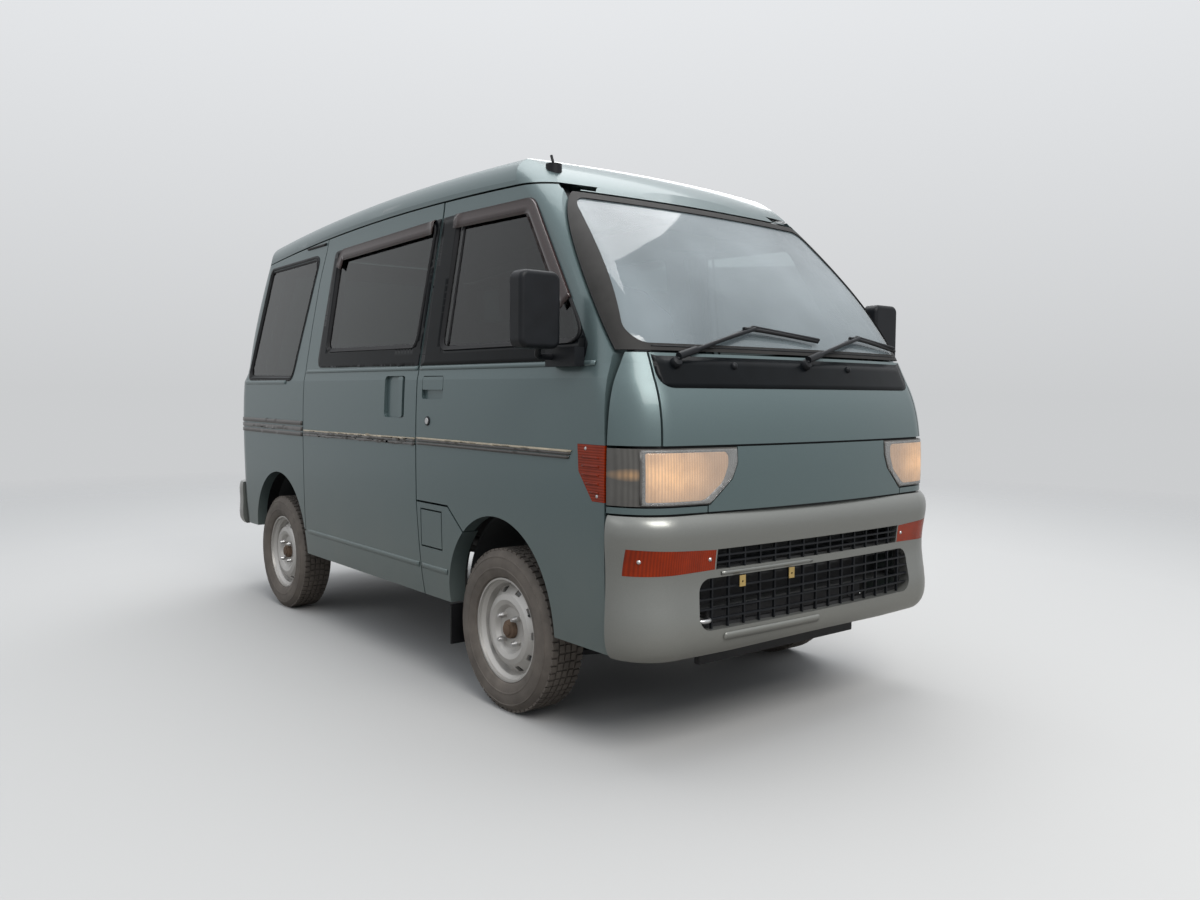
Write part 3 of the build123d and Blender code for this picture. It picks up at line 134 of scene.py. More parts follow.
def shader_group(name, inputs, outputs):
    group = bpy.data.node_groups.new(name, "ShaderNodeTree")
    for label, kind, default in inputs:
        socket = group.interface.new_socket(label, in_out="INPUT", socket_type=kind)
        socket.default_value = default
    for label, kind in outputs:
        group.interface.new_socket(label, in_out="OUTPUT", socket_type=kind)
    return group, group.nodes, group.links, group.nodes.new("NodeGroupInput"), group.nodes.new("NodeGroupOutput")


def noise(nodes, links, vector, scale, detail=3.0, rough=0.55):
    node = nodes.new("ShaderNodeTexNoise")
    node.inputs["Scale"].default_value = scale
    node.inputs["Detail"].default_value = detail
    node.inputs["Roughness"].default_value = rough
    links.new(vector, node.inputs["Vector"])
    return node


def ramp(nodes, links, value, low, high, to_low=0.0, to_high=1.0):
    node = nodes.new("ShaderNodeMapRange")
    node.clamp = True
    for label, number in (("From Min", low), ("From Max", high), ("To Min", to_low), ("To Max", to_high)):
        node.inputs[label].default_value = number
    links.new(value, node.inputs["Value"])
    return node.outputs["Result"]


def maths(nodes, links, operation, a, b=None):
    node = nodes.new("ShaderNodeMath")
    node.operation = operation
    for socket, value in zip(node.inputs, (a, b)):
        if value is None:
            continue
        if isinstance(value, (int, float)):
            socket.default_value = value
        else:
            links.new(value, socket)
    return node.outputs[0]


def blend_colour(nodes, links, factor, a, b):
    node = nodes.new("ShaderNodeMix")
    node.data_type = "RGBA"
    for socket, value in ((node.inputs[0], factor), (node.inputs[6], a), (node.inputs[7], b)):
        if isinstance(value, (int, float)):
            socket.default_value = value
        elif isinstance(value, tuple):
            socket.default_value = (*value, 1)
        else:
            links.new(value, socket)
    return node.outputs[2]


def weather_group():
    """Dust that thickens towards the road, with patches and fine specks."""
    group, nodes, links, start, end = shader_group(
        "Road dust",
        (("Low", "NodeSocketFloat", 0.25), ("High", "NodeSocketFloat", 0.75),
         ("Amount", "NodeSocketFloat", 0.5), ("Patch Scale", "NodeSocketFloat", 5.0)),
        (("Mask", "NodeSocketFloat"), ("Speck", "NodeSocketFloat")),
    )
    coords = nodes.new("ShaderNodeTexCoord").outputs["Object"]
    split = nodes.new("ShaderNodeSeparateXYZ")
    links.new(coords, split.inputs[0])
    height = nodes.new("ShaderNodeMapRange")
    height.clamp = True
    height.interpolation_type = "SMOOTHSTEP"
    links.new(split.outputs["Z"], height.inputs["Value"])
    links.new(start.outputs["Low"], height.inputs["From Min"])
    links.new(start.outputs["High"], height.inputs["From Max"])
    height.inputs["To Min"].default_value = 1.0
    height.inputs["To Max"].default_value = 0.0
    patch = nodes.new("ShaderNodeTexNoise")
    patch.inputs["Detail"].default_value = 4.0
    links.new(coords, patch.inputs["Vector"])
    links.new(start.outputs["Patch Scale"], patch.inputs["Scale"])
    uneven = ramp(nodes, links, patch.outputs[0], 0.3, 0.7, 0.55, 1.0)
    mask = maths(nodes, links, "MULTIPLY", height.outputs["Result"], uneven)
    mask = maths(nodes, links, "MULTIPLY", mask, start.outputs["Amount"])
    links.new(mask, end.inputs["Mask"])
    fine = noise(nodes, links, coords, 900.0, 2.0)
    links.new(ramp(nodes, links, fine.outputs[0], 0.35, 0.65), end.inputs["Speck"])
    return group


def painted(name, base, group, dust, low, high, amount, rough=0.34, metal=0.35, coat=0.5):
    """Metallic lacquer with fine flake and road dust."""
    material, nodes, links, shader = new_material(name)
    cover = group_node(material, group, Low=low, High=high, Amount=amount, Patch_Scale=4.0)
    flake = blend_colour(nodes, links, cover.outputs["Speck"], tuple(c * 0.93 for c in base), tuple(min(1, c * 1.07) for c in base))
    mixed = blend_colour(nodes, links, cover.outputs["Mask"], flake, dust)
    links.new(mixed, shader.inputs["Base Color"])
    links.new(ramp(nodes, links, cover.outputs["Mask"], 0.0, 1.0, rough, 0.6), shader.inputs["Roughness"])
    links.new(ramp(nodes, links, cover.outputs["Mask"], 0.0, 1.0, metal, 0.0), shader.inputs["Metallic"])
    links.new(ramp(nodes, links, cover.outputs["Mask"], 0.0, 1.0, coat, 0.1), shader.inputs["Coat Weight"])
    shader.inputs["Coat Roughness"].default_value = 0.06
    return material


def grain_group():
    """Moulded grain with a slow drift of tone, shared by plastics, rubbers, metals and glass."""
    group, nodes, links, start, end = shader_group(
        "Fine grain",
        (("Scale", "NodeSocketFloat", 700.0), ("Drift Scale", "NodeSocketFloat", 14.0),
         ("Dark", "NodeSocketColor", (0.1, 0.1, 0.1, 1)), ("Pale", "NodeSocketColor", (0.2, 0.2, 0.2, 1))),
        (("Grain", "NodeSocketFloat"), ("Drift", "NodeSocketFloat"), ("Tone", "NodeSocketColor")),
    )
    coords = nodes.new("ShaderNodeTexCoord").outputs["Object"]
    fine = noise(nodes, links, coords, 700.0)
    links.new(start.outputs["Scale"], fine.inputs["Scale"])
    links.new(fine.outputs[0], end.inputs["Grain"])
    wide = noise(nodes, links, coords, 14.0)
    links.new(start.outputs["Drift Scale"], wide.inputs["Scale"])
    drift = ramp(nodes, links, wide.outputs[0], 0.3, 0.7)
    links.new(drift, end.inputs["Drift"])
    links.new(blend_colour(nodes, links, drift, start.outputs["Dark"], start.outputs["Pale"]), end.inputs["Tone"])
    return group


def rib_group():
    """Ribs that run square to a direction, for lenses and reflectors, with a Depth output of painted shade: darker in
    the troughs of the ribs and uneven in random patches.
    """
    group, nodes, links, start, end = shader_group(
        "Lens ribs",
        (("Direction", "NodeSocketVector", (1, 0, 0)), ("Pitch", "NodeSocketFloat", 0.01)),
        (("Rib", "NodeSocketFloat"), ("Depth", "NodeSocketFloat")),
    )
    coords = nodes.new("ShaderNodeTexCoord").outputs["Object"]
    along = nodes.new("ShaderNodeVectorMath")
    along.operation = "DOT_PRODUCT"
    links.new(coords, along.inputs[0])
    links.new(start.outputs["Direction"], along.inputs[1])
    turns = maths(nodes, links, "DIVIDE", along.outputs["Value"], start.outputs["Pitch"])
    swing = maths(nodes, links, "SINE", maths(nodes, links, "MULTIPLY", turns, 2 * math.pi))
    rib = ramp(nodes, links, swing, -1.0, 1.0)
    links.new(rib, end.inputs["Rib"])
    patch = noise(nodes, links, coords, 20.0, 2.0)
    # Painted shade on the ribs: low in their troughs, times random patches.
    depth = maths(nodes, links, "MULTIPLY", ramp(nodes, links, rib, 0.0, 1.0, 0.6, 1.0),
                  ramp(nodes, links, patch.outputs[0], 0.32, 0.68, 0.65, 1.0))
    links.new(depth, end.inputs["Depth"])
    return group


def glow_group():
    """Light around a bulb on each side of the van, strongest at the bulb."""
    group, nodes, links, start, end = shader_group(
        "Bulb glow",
        (("Across", "NodeSocketFloat", 0.58), ("Height", "NodeSocketFloat", 0.80),
         ("Near", "NodeSocketFloat", 0.005), ("Far", "NodeSocketFloat", 0.16)),
        (("Glow", "NodeSocketFloat"),),
    )
    split = nodes.new("ShaderNodeSeparateXYZ")
    links.new(nodes.new("ShaderNodeTexCoord").outputs["Object"], split.inputs[0])
    across = maths(nodes, links, "SUBTRACT", maths(nodes, links, "ABSOLUTE", split.outputs["X"]), start.outputs["Across"])
    upwards = maths(nodes, links, "SUBTRACT", split.outputs["Z"], start.outputs["Height"])
    upwards = maths(nodes, links, "MULTIPLY", upwards, 1.7)
    square = maths(nodes, links, "ADD", maths(nodes, links, "MULTIPLY", across, across),
                   maths(nodes, links, "MULTIPLY", upwards, upwards))
    spread = nodes.new("ShaderNodeMapRange")
    spread.clamp = True
    links.new(maths(nodes, links, "SQRT", square), spread.inputs["Value"])
    links.new(start.outputs["Near"], spread.inputs["From Min"])
    links.new(start.outputs["Far"], spread.inputs["From Max"])
    spread.inputs["To Min"].default_value = 1.0
    spread.inputs["To Max"].default_value = 0.0
    links.new(spread.outputs["Result"], end.inputs["Glow"])
    return group


def grained(name, base, rough=0.55, scale=700.0, depth=0.08, distance=0.0006, coat=0.0, specular=0.5):
    """Moulded plastic or rubber with a fine grain."""
    material, nodes, links, shader = new_material(name)
    dark, pale = tuple(c * 0.8 for c in base), tuple(min(1, c * 1.25) for c in base)
    grain = group_node(material, GROUPS["grain"], Scale=scale, Dark=(*dark, 1), Pale=(*pale, 1))
    bump = nodes.new("ShaderNodeBump")
    bump.inputs["Strength"].default_value = depth
    bump.inputs["Distance"].default_value = distance
    links.new(grain.outputs["Grain"], bump.inputs["Height"])
    links.new(bump.outputs[0], shader.inputs["Normal"])
    links.new(grain.outputs["Tone"], shader.inputs["Base Color"])
    shader.inputs["Roughness"].default_value = rough
    shader.inputs["Coat Weight"].default_value = coat
    shader.inputs["Specular IOR Level"].default_value = specular
    return material


def polished(name, base, rough, metal=0.0, coat=0.0, alpha=1.0):
    """Smooth metal, mirror or lens with faint smears in tone and gloss."""
    material, nodes, links, shader = new_material(name)
    dark = tuple(c * 0.86 for c in base)
    grain = group_node(material, GROUPS["grain"], Drift_Scale=30.0, Dark=(*dark, 1), Pale=(*base, 1))
    links.new(grain.outputs["Tone"], shader.inputs["Base Color"])
    links.new(ramp(nodes, links, grain.outputs["Drift"], 0.0, 1.0, rough * 0.8, rough * 1.5), shader.inputs["Roughness"])
    shader.inputs["Metallic"].default_value = metal
    shader.inputs["Coat Weight"].default_value = coat
    shader.inputs["Alpha"].default_value = alpha
    return material


def woven(name, base):
    """Seat cloth with a fine cross weave."""
    material, nodes, links, shader = new_material(name)
    coords = nodes.new("ShaderNodeTexCoord").outputs["Object"]
    waves = []
    for direction in ("X", "Z"):
        wave = nodes.new("ShaderNodeTexWave")
        wave.bands_direction = direction
        wave.inputs["Scale"].default_value = 160.0
        links.new(coords, wave.inputs["Vector"])
        waves.append(wave.outputs["Fac"])
    weave = maths(nodes, links, "MULTIPLY", *waves)
    bump = nodes.new("ShaderNodeBump")
    bump.inputs["Strength"].default_value = 0.4
    bump.inputs["Distance"].default_value = 0.0008
    links.new(weave, bump.inputs["Height"])
    links.new(bump.outputs[0], shader.inputs["Normal"])
    tone = blend_colour(nodes, links, weave, tuple(c * 0.88 for c in base), tuple(c * 1.12 for c in base))
    links.new(tone, shader.inputs["Base Color"])
    shader.inputs["Roughness"].default_value = 0.95
    shader.inputs["Sheen Weight"].default_value = 0.3
    return material


def glazing(name, tint):
    """Clear or tinted window glass with faint smears."""
    material, nodes, links, shader = new_material(name)
    dark = tuple(c * 0.82 for c in tint)
    grain = group_node(material, GROUPS["grain"], Drift_Scale=5.0, Dark=(*dark, 1), Pale=(*tint, 1))
    links.new(grain.outputs["Tone"], shader.inputs["Base Color"])
    links.new(ramp(nodes, links, grain.outputs["Drift"], 0.0, 1.0, 0.0, 0.02), shader.inputs["Roughness"])
    shader.inputs["Transmission Weight"].default_value = 1.0
    shader.inputs["IOR"].default_value = 1.45
    shader.inputs["Specular IOR Level"].default_value = 0.3
    return material


def lit(name, base, bulb, dim, bright, reach, strength, metal=0.15, rough=0.4):
    """Fluted lamp surface that glows most around its bulb, given as width and height."""
    material, nodes, links, shader = new_material(name)
    glow = group_node(material, GROUPS["glow"], Across=bulb[0], Height=bulb[1], Near=reach[0], Far=reach[1])
    ribs = group_node(material, GROUPS["ribs"], Direction=(1, 0, 0), Pitch=0.0085)
    near = maths(nodes, links, "MULTIPLY", glow.outputs["Glow"], ribs.outputs["Depth"])
    links.new(blend_colour(nodes, links, near, dim, bright), shader.inputs["Emission Color"])
    shader.inputs["Emission Strength"].default_value = strength
    # Base colour darker in the troughs of the ribs: painted shade on the flutes.
    tone = blend_colour(nodes, links, ribs.outputs["Depth"], tuple(c * 0.4 for c in base), base)
    links.new(tone, shader.inputs["Base Color"])
    shader.inputs["Metallic"].default_value = metal
    shader.inputs["Roughness"].default_value = rough
    return material


def ribbed(name, base, direction, pitch=0.0075):
    """Coloured lens moulded with fine ribs."""
    material, nodes, links, shader = new_material(name)
    ribs = group_node(material, GROUPS["ribs"], Direction=direction, Pitch=pitch)
    bump = nodes.new("ShaderNodeBump")
    bump.inputs["Strength"].default_value = 0.35
    bump.inputs["Distance"].default_value = 0.0012
    links.new(ribs.outputs["Rib"], bump.inputs["Height"])
    links.new(bump.outputs[0], shader.inputs["Normal"])
    # Lens colour darker in the troughs of the ribs: painted shade on the flutes, uneven in random patches.
    dark = tuple(c * 0.25 for c in base)
    links.new(blend_colour(nodes, links, ribs.outputs["Depth"], dark, base), shader.inputs["Base Color"])
    shader.inputs["Roughness"].default_value = 0.2
    shader.inputs["Specular IOR Level"].default_value = 0.3
    return material


def painted_sky_screen(name, film, thin, thick):
    """Windscreen glass under a whitish film that lies in soft clouds: a painted reflection of the pale sky."""
    material, nodes, links, shader = new_material(name)
    coords = nodes.new("ShaderNodeTexCoord").outputs["Object"]
    # Soft clouds of painted sky reflection: the film is thicker and paler where the cloud is strong.
    cloud = noise(nodes, links, coords, 1.9, 3.0, 0.5)
    cover = ramp(nodes, links, cloud.outputs[0], 0.36, 0.64, thin, thick)
    links.new(cover, shader.inputs["Alpha"])
    pale = tuple(min(1.0, c * 1.45) for c in film)
    links.new(blend_colour(nodes, links, cloud.outputs[0], film, pale), shader.inputs["Base Color"])
    shader.inputs["Roughness"].default_value = 0.05
    shader.inputs["Coat Weight"].default_value = 0.8
    shader.inputs["Coat Roughness"].default_value = 0.03
    return material


MATERIALS = {}
GROUPS = {}


def make_materials(paint):
    dust = weather_group()
    GROUPS.update(grain=grain_group(), ribs=rib_group(), glow=glow_group())
    grime = tuple(paint.dust)
    M = MATERIALS
    M["body"] = painted("Body paint", tuple(paint.body), dust, grime, 0.20, 0.80, 0.22, 0.34, 0.45, 0.30)
    M["inner"] = painted("Cabin lining", (0.040, 0.043, 0.045), dust, grime, 0.2, 0.5, 0.2, 0.7, 0.0, 0.0)
    M["bumper"] = painted("Bumper paint", tuple(paint.bumper), dust, grime, 0.20, 0.46, 0.30, 0.34, 0.70, 0.35)
    M["wheel"] = painted("Wheel steel", tuple(paint.wheel), dust, (0.16, 0.13, 0.10), -1.0, 2.0, 0.45, 0.42, 0.7, 0.1)
    M["tyre"] = grained("Tyre rubber", tuple(paint.tyre), 0.82, 500.0, 0.3, 0.001)
    M["rubber"] = grained("Seal rubber", tuple(paint.rubber), 0.5, 800.0, specular=0.25)
    M["plastic"] = grained("Black plastic", (0.008, 0.009, 0.011), 0.45, 900.0, specular=0.22)
    M["trim"] = grained("Grey cabin plastic", (0.085, 0.088, 0.095), 0.6, 700.0)
    M["chassis"] = grained("Underbody paint", (0.020, 0.020, 0.021), 0.75, 120.0)
    M["iron"] = grained("Cast iron", (0.10, 0.10, 0.10), 0.7, 200.0)
    M["band"] = grained("Black band", (0.003, 0.004, 0.005), 0.3, 60.0, 0.02, 0.0004, specular=0.1)
    M["cloth"] = woven("Cushion cloth", tuple(paint.cloth))
    M["clear"] = glazing("Front door glass", (0.09, 0.11, 0.11))
    M["tint"] = glazing("Tinted glass", (0.06, 0.085, 0.08))
    M["visor"] = polished("Visor tint", tuple(paint.visor), 0.10, coat=0.25, alpha=0.95)
    M["seal"] = grained("Screen seal", (0.018, 0.017, 0.016), 0.6, 800.0, specular=0.25)
    M["lens"] = polished("Lamp lens", (0.90, 0.92, 0.92), 0.05, coat=0.3, alpha=0.10)
    M["amber"] = ribbed("Amber lens", tuple(paint.amber), (1, 0, 0))
    M["amber_side"] = ribbed("Amber side lens", tuple(paint.amber), (0, 0, 1))
    M["red"] = ribbed("Red lens", tuple(paint.red), (1, 0, 0))
    M["steel"] = polished("Bright steel", (0.55, 0.55, 0.55), 0.3, 1.0)
    M["brass"] = polished("Passivated clip", (0.62, 0.45, 0.18), 0.35, 0.9)
    M["mirror"] = polished("Mirror glass", (0.8, 0.82, 0.84), 0.03, 1.0)
    M["stripe"] = grained("Stripe film", (0.035, 0.030, 0.026), 0.35, 300.0, 0.02, 0.0003, 0.2)
    M["stripe_pale"] = grained("Pale stripe film", (0.33, 0.28, 0.20), 0.4, 300.0, 0.02, 0.0003, 0.2)
    M["rust"] = grained("Rusty hub", (0.11, 0.07, 0.045), 0.8, 90.0, 0.5, 0.002)
    M["bezel"] = grained("Lamp bezel", (0.085, 0.080, 0.074), 0.4, 500.0, 0.02, 0.0003, 0.2)
    M["plate"] = grained("Blank plate", (0.55, 0.55, 0.53), 0.5, 400.0, 0.02, 0.0003)
    M["clear_lens"] = polished("Clear tail lens", (0.75, 0.75, 0.75), 0.1, coat=0.5)
    M["lit"] = lit("Lit reflector", (0.34, 0.23, 0.15), (0.580, 0.800), (0.20, 0.10, 0.04), (1.0, 0.52, 0.19),
                   (0.004, 0.16), 0.85)
    M["smoke"] = lit("Smoked chamber", (0.105, 0.100, 0.092), (0.662, 0.800), (0.0, 0.0, 0.0), (0.75, 0.40, 0.14),
                     (0.004, 0.032), 0.5, 0.0, 0.3)
    # Windscreen: its pale cloudy film is a painted reflection of the sky.
    M["screen"] = painted_sky_screen("Screen glass", (0.19, 0.225, 0.24), 0.46, 0.72)


NODE_FINISH = {
    "cab_floor": "inner", "load_floor": "inner", "rear_wheelhouses": "inner", "side_frame_left": "inner", "side_frame_right": "inner",
    "front_bumper": "bumper", "rear_bumper": "bumper", "front_grille": "plastic", "nose_frame": "chassis",
    "frame_rails": "chassis", "rear_axle": "chassis", "propshaft": "chassis", "front_suspension": "chassis",
    "knuckle_left": "chassis", "knuckle_right": "chassis", "fuel_tank": "chassis", "exhaust": "iron",
    "engine_block": "iron", "windscreen_seal": "seal", "mud_flaps": "rubber", "dashboard": "trim",
    "steering_wheel": "trim", "front_seats": "cloth", "rear_bench": "cloth", "wipers": "plastic",
    "mirror_left": "plastic", "mirror_right": "plastic", "antenna_base": "plastic", "plate_clips": "brass",
    "windscreen_glass": "screen", "tailgate_glass": "tint", "side_windows": "tint",
    "front_door_glass_left": "clear", "front_door_glass_right": "clear", "headlights": "smoke",
    "tail_lamps": "red", "bumper_signals": "amber", "side_lamp_left": "amber_side", "side_lamp_right": "amber_side",
}


def finish_for(node):
    if node in NODE_FINISH:
        return NODE_FINISH[node]
    if node.startswith("tyre"):
        return "tyre"
    if node.startswith("rim"):
        return "wheel"
    return "body"


class VAN_OT_finishes(bpy.types.Operator):
    """Give every panel and part of the frame its finish"""
    bl_idname = "van.finishes"
    bl_label = "Finishes"

    def execute(self, context):
        make_materials(context.scene.van_paint)
        for name, obj in NODES.items():
            material = MATERIALS[finish_for(name)]
            slots = obj.data.materials
            if not slots:
                slots.append(material)
            for i in range(len(slots)):
                slots[i] = material
        return {"FINISHED"}


# Shapes shared by several pieces

def adopt(obj, finish, body, sharp=32.0, replaces=()):
    """Give a finished mesh its material, smooth faces and body."""
    mesh = obj.data
    if not mesh.materials:
        mesh.materials.append(MATERIALS[finish])
    mesh.shade_smooth()
    mesh.set_sharp_from_angle(angle=math.radians(sharp))
    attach(obj, body)
    if replaces:
        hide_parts(*replaces)
    return obj


def mesh_object(name, verts, faces, tidy=True):
    """Object from points and faces, its doubles merged and its normals turned outwards."""
    mesh = bpy.data.meshes.new(name)
    mesh.from_pydata([tuple(v) for v in verts], [], [tuple(f) for f in faces])
    if tidy:
        bm = bmesh.new()
        bm.from_mesh(mesh)
        bmesh.ops.remove_doubles(bm, verts=bm.verts, dist=1e-6)
        bmesh.ops.recalc_face_normals(bm, faces=bm.faces)
        bm.to_mesh(mesh)
        bm.free()
    obj = bpy.data.objects.new(name, mesh)
    bpy.context.scene.collection.objects.link(obj)
    return obj


def skin_of(*names):
    """Search tree over the faces of some of the frame's nodes."""
    verts, faces = [], []
    for name in names:
        mesh = NODES[name].data
        base = len(verts)
        verts += [v.co.copy() for v in mesh.vertices]
        faces += [[base + i for i in p.vertices] for p in mesh.polygons]
    return BVHTree.FromPolygons(verts, faces)


def caster(start, direction, reach, names):
    skin = skin_of(*names)
    heading = Vector(direction)

    def place(a, b):
        """Nearest of three close rays, so that none slips between two faces."""
        nearest = None
        for da, db in ((0.0, 0.0), (0.0004, 0.0003), (-0.0003, 0.0004)):
            hit, normal, _, distance = skin.ray_cast(Vector(start(a + da, b + db)), heading, reach)
            if hit and (nearest is None or distance < nearest[2] - 0.0005):
                nearest = (hit, normal, distance)
        return nearest[:2] if nearest else None
    return place


def on_side(side, *names):
    """Places points given as length and height on a side panel."""
    return caster(lambda y, z: (side * 1.0, y, z), (-side, 0, 0), 0.62, names)


def on_front(*names):
    """Places points given as width and height on the nose."""
    return caster(lambda x, z: (x, -2.0, z), (0, 1, 0), 1.05, names)


def on_rear(*names):
    """Places points given as width and height on the tail."""
    return caster(lambda x, z: (x, 2.0, z), (0, -1, 0), 0.9, names)


def inside(point, ring):
    x, y = point
    hit = False
    for (x0, y0), (x1, y1) in zip(ring, ring[1:] + ring[:1]):
        if (y0 > y) != (y1 > y) and x < (x1 - x0) * (y - y0) / (y1 - y0) + x0:
            hit = not hit
    return hit


def rounded(points, radius, steps=7):
    """Closed outline with its corners rounded by one radius or by one for each corner."""
    radii = radius if isinstance(radius, (list, tuple)) else [radius] * len(points)
    ring = []
    for i, r in enumerate(radii):
        a, b, c = (Vector(points[(i + k - 1) % len(points)]) for k in range(3))
        if r <= 0:
            ring.append(tuple(b))
            continue
        to_a, to_c = (a - b).normalized(), (c - b).normalized()
        reach = min(r / math.tan(to_a.angle(to_c) / 2), (a - b).length * 0.49, (c - b).length * 0.49)
        start, end = b + to_a * reach, b + to_c * reach
        for k in range(steps + 1):
            t = k / steps
            ring.append(tuple(start * (1 - t) ** 2 + b * 2 * t * (1 - t) + end * t * t))
    return ring


def grown(points, amount):
    """Outline moved outwards by an amount, corner for corner."""
    area = sum(a[0] * b[1] - b[0] * a[1] for a, b in zip(points, points[1:] + points[:1]))
    turn = 1 if area > 0 else -1
    lines = []
    for a, b in zip(points, points[1:] + points[:1]):
        along = (Vector(b) - Vector(a)).normalized()
        out = Vector((along.y, -along.x)) * turn * amount
        lines.append((Vector(a) + out, along))
    ring = []
    for (p, d), (q, e) in zip(lines[-1:] + lines[:-1], lines):
        cross = d.x * e.y - d.y * e.x
        t = ((q - p).x * e.y - (q - p).y * e.x) / cross
        ring.append(tuple(p + d * t))
    return ring


def dense(ring, step):
    """Outline with points no further apart than a step."""
    out = []
    for a, b in zip(ring, ring[1:] + ring[:1]):
        a, b = Vector(a), Vector(b)
        count = max(1, math.ceil((b - a).length / step))
        out += [tuple(a.lerp(b, k / count)) for k in range(count)]
    return out


def fill(outline, holes, step, grid):
    """Triangles that cover an outline and leave its holes open."""
    rings = [dense(ring, step) for ring in (outline, *holes)]
    points, edges = [], []
    for ring in rings:
        base = len(points)
        points += ring
        edges += [(base + i, base + (i + 1) % len(ring)) for i in range(len(ring))]

    def covered(p):
        return inside(p, rings[0]) and not any(inside(p, hole) for hole in rings[1:])

    low = [min(p[k] for p in rings[0]) for k in (0, 1)]
    high = [max(p[k] for p in rings[0]) for k in (0, 1)]
    counts = [int((high[k] - low[k]) / grid) for k in (0, 1)]
    for i in range(1, counts[0] + 1):
        for j in range(1, counts[1] + 1):
            p = (low[0] + (i - 0.37) * grid, low[1] + (j - 0.41) * grid)
            if covered(p):
                points.append(p)
    flat, _, faces, *_ = delaunay_2d_cdt([Vector(p) for p in points], edges, [], 0, 1e-7)
    keep = [f for f in faces if covered(tuple(sum((flat[i] for i in f), Vector((0, 0))) / 3))]
    return flat, keep


def cladding(name, outline, place, finish, body, holes=(), lift=0.0008, depth=0.0012,
             step=0.012, grid=0.024, sharp=40.0, replaces=()):
    """Thin sheet that lies on panels within an outline, lifted off them by a length or a rule."""
    flat, faces = fill(outline, holes, step, grid)
    spots = [place(*p) for p in flat]
    rise = lift if callable(lift) else (lambda a, b: lift)
    faces = [f for f in faces if all(spots[i] for i in f)]
    used = sorted({i for f in faces for i in f})
    number = {i: k for k, i in enumerate(used)}
    verts = [spots[i][0] + spots[i][1] * rise(*flat[i]) for i in used]
    faces = [[number[i] for i in f] for f in faces]
    f = faces[len(faces) // 2]
    facing = (verts[f[1]] - verts[f[0]]).cross(verts[f[2]] - verts[f[0]])
    if facing.dot(spots[used[f[0]]][1]) < 0:
        faces = [list(reversed(face)) for face in faces]
    obj = mesh_object(name, verts, faces, tidy=False)
    if depth:
        wall = obj.modifiers.new("Thickness", "SOLIDIFY")
        wall.thickness = depth
        wall.offset = -1.0
    return adopt(obj, finish, body, sharp, replaces)


def lathe(profile, segments, matrix):
    """Points and faces of a profile of radius and height turned about its own upright axis."""
    verts, faces = [], []
    for r, h in profile:
        for k in range(segments):
            a = 2 * math.pi * k / segments
            verts.append(matrix @ Vector((r * math.cos(a), r * math.sin(a), h)))
    for row in range(len(profile) - 1):
        for k in range(segments):
            n = (k + 1) % segments
            a, b = row * segments, (row + 1) * segments
            faces.append((a + k, a + n, b + n, b + k))
    return verts, faces


def turned(name, profile, segments, at, axis, finish, body, sharp=32.0):
    """Closed turned piece along an axis from a place."""
    matrix = Matrix.Translation(Vector(at)) @ Vector(axis).to_track_quat("Z", "Y").to_matrix().to_4x4()
    profile = [(1e-5, profile[0][1]), *profile, (1e-5, profile[-1][1])]
    verts, faces = lathe(profile, segments, matrix)
    ends = len(profile) * segments
    faces += [tuple(range(segments)), tuple(range(ends - segments, ends))]
    obj = mesh_object(name, verts, faces)
    return adopt(obj, finish, body, sharp)


def tube(name, points, radius, finish, body, order=3, closed=False, flat=1.0, replaces=()):
    """Round bar along a smooth line."""
    curve = bpy.data.curves.new(name, "CURVE")
    curve.dimensions = "3D"
    curve.bevel_depth = radius
    curve.bevel_resolution = 4
    curve.use_fill_caps = True
    spline = curve.splines.new("NURBS")
    spline.points.add(len(points) - 1)
    for spot, p in zip(spline.points, points):
        spot.co = (*p, 1)
    spline.order_u = order
    spline.use_endpoint_u = not closed
    spline.use_cyclic_u = closed
    spline.resolution_u = 8
    holder = bpy.data.objects.new(name + "_line", curve)
    mesh = bpy.data.meshes.new_from_object(holder)
    bpy.data.objects.remove(holder)
    mesh.name = name
    bm = bmesh.new()
    bm.from_mesh(mesh)
    bmesh.ops.remove_doubles(bm, verts=bm.verts, dist=1e-6)
    bmesh.ops.recalc_face_normals(bm, faces=bm.faces)
    bm.to_mesh(mesh)
    bm.free()
    obj = bpy.data.objects.new(name, mesh)
    bpy.context.scene.collection.objects.link(obj)
    return adopt(obj, finish, body, 40.0, replaces)


def soft_box(name, low, high, round_r, finish, body, segments=4, shape=None, replaces=()):
    """Box with rounded edges, whose points a rule may move."""
    bm = bmesh.new()
    bmesh.ops.create_cube(bm, size=1.0)
    size = [h - l for l, h in zip(low, high)]
    for v in bm.verts:
        v.co = Vector([l + (c + 0.5) * s for l, c, s in zip(low, v.co, size)])
    bmesh.ops.bevel(bm, geom=bm.edges[:], offset=round_r, segments=segments, profile=0.5, affect="EDGES")
    if shape:
        for v in bm.verts:
            v.co = Vector(shape(v.co))
    bmesh.ops.recalc_face_normals(bm, faces=bm.faces)
    mesh = bpy.data.meshes.new(name)
    bm.to_mesh(mesh)
    bm.free()
    obj = bpy.data.objects.new(name, mesh)
    bpy.context.scene.collection.objects.link(obj)
    return adopt(obj, finish, body, 40.0, replaces)


# Geometry node trees

def tree_with(name, inputs):
    tree = bpy.data.node_groups.new(name, "GeometryNodeTree")
    tree.interface.new_socket("Geometry", in_out="INPUT", socket_type="NodeSocketGeometry")
    for label, kind in inputs:
        tree.interface.new_socket(label, in_out="INPUT", socket_type=kind)
    tree.interface.new_socket("Geometry", in_out="OUTPUT", socket_type="NodeSocketGeometry")
    return tree, tree.nodes, tree.links, tree.nodes.new("NodeGroupInput"), tree.nodes.new("NodeGroupOutput")


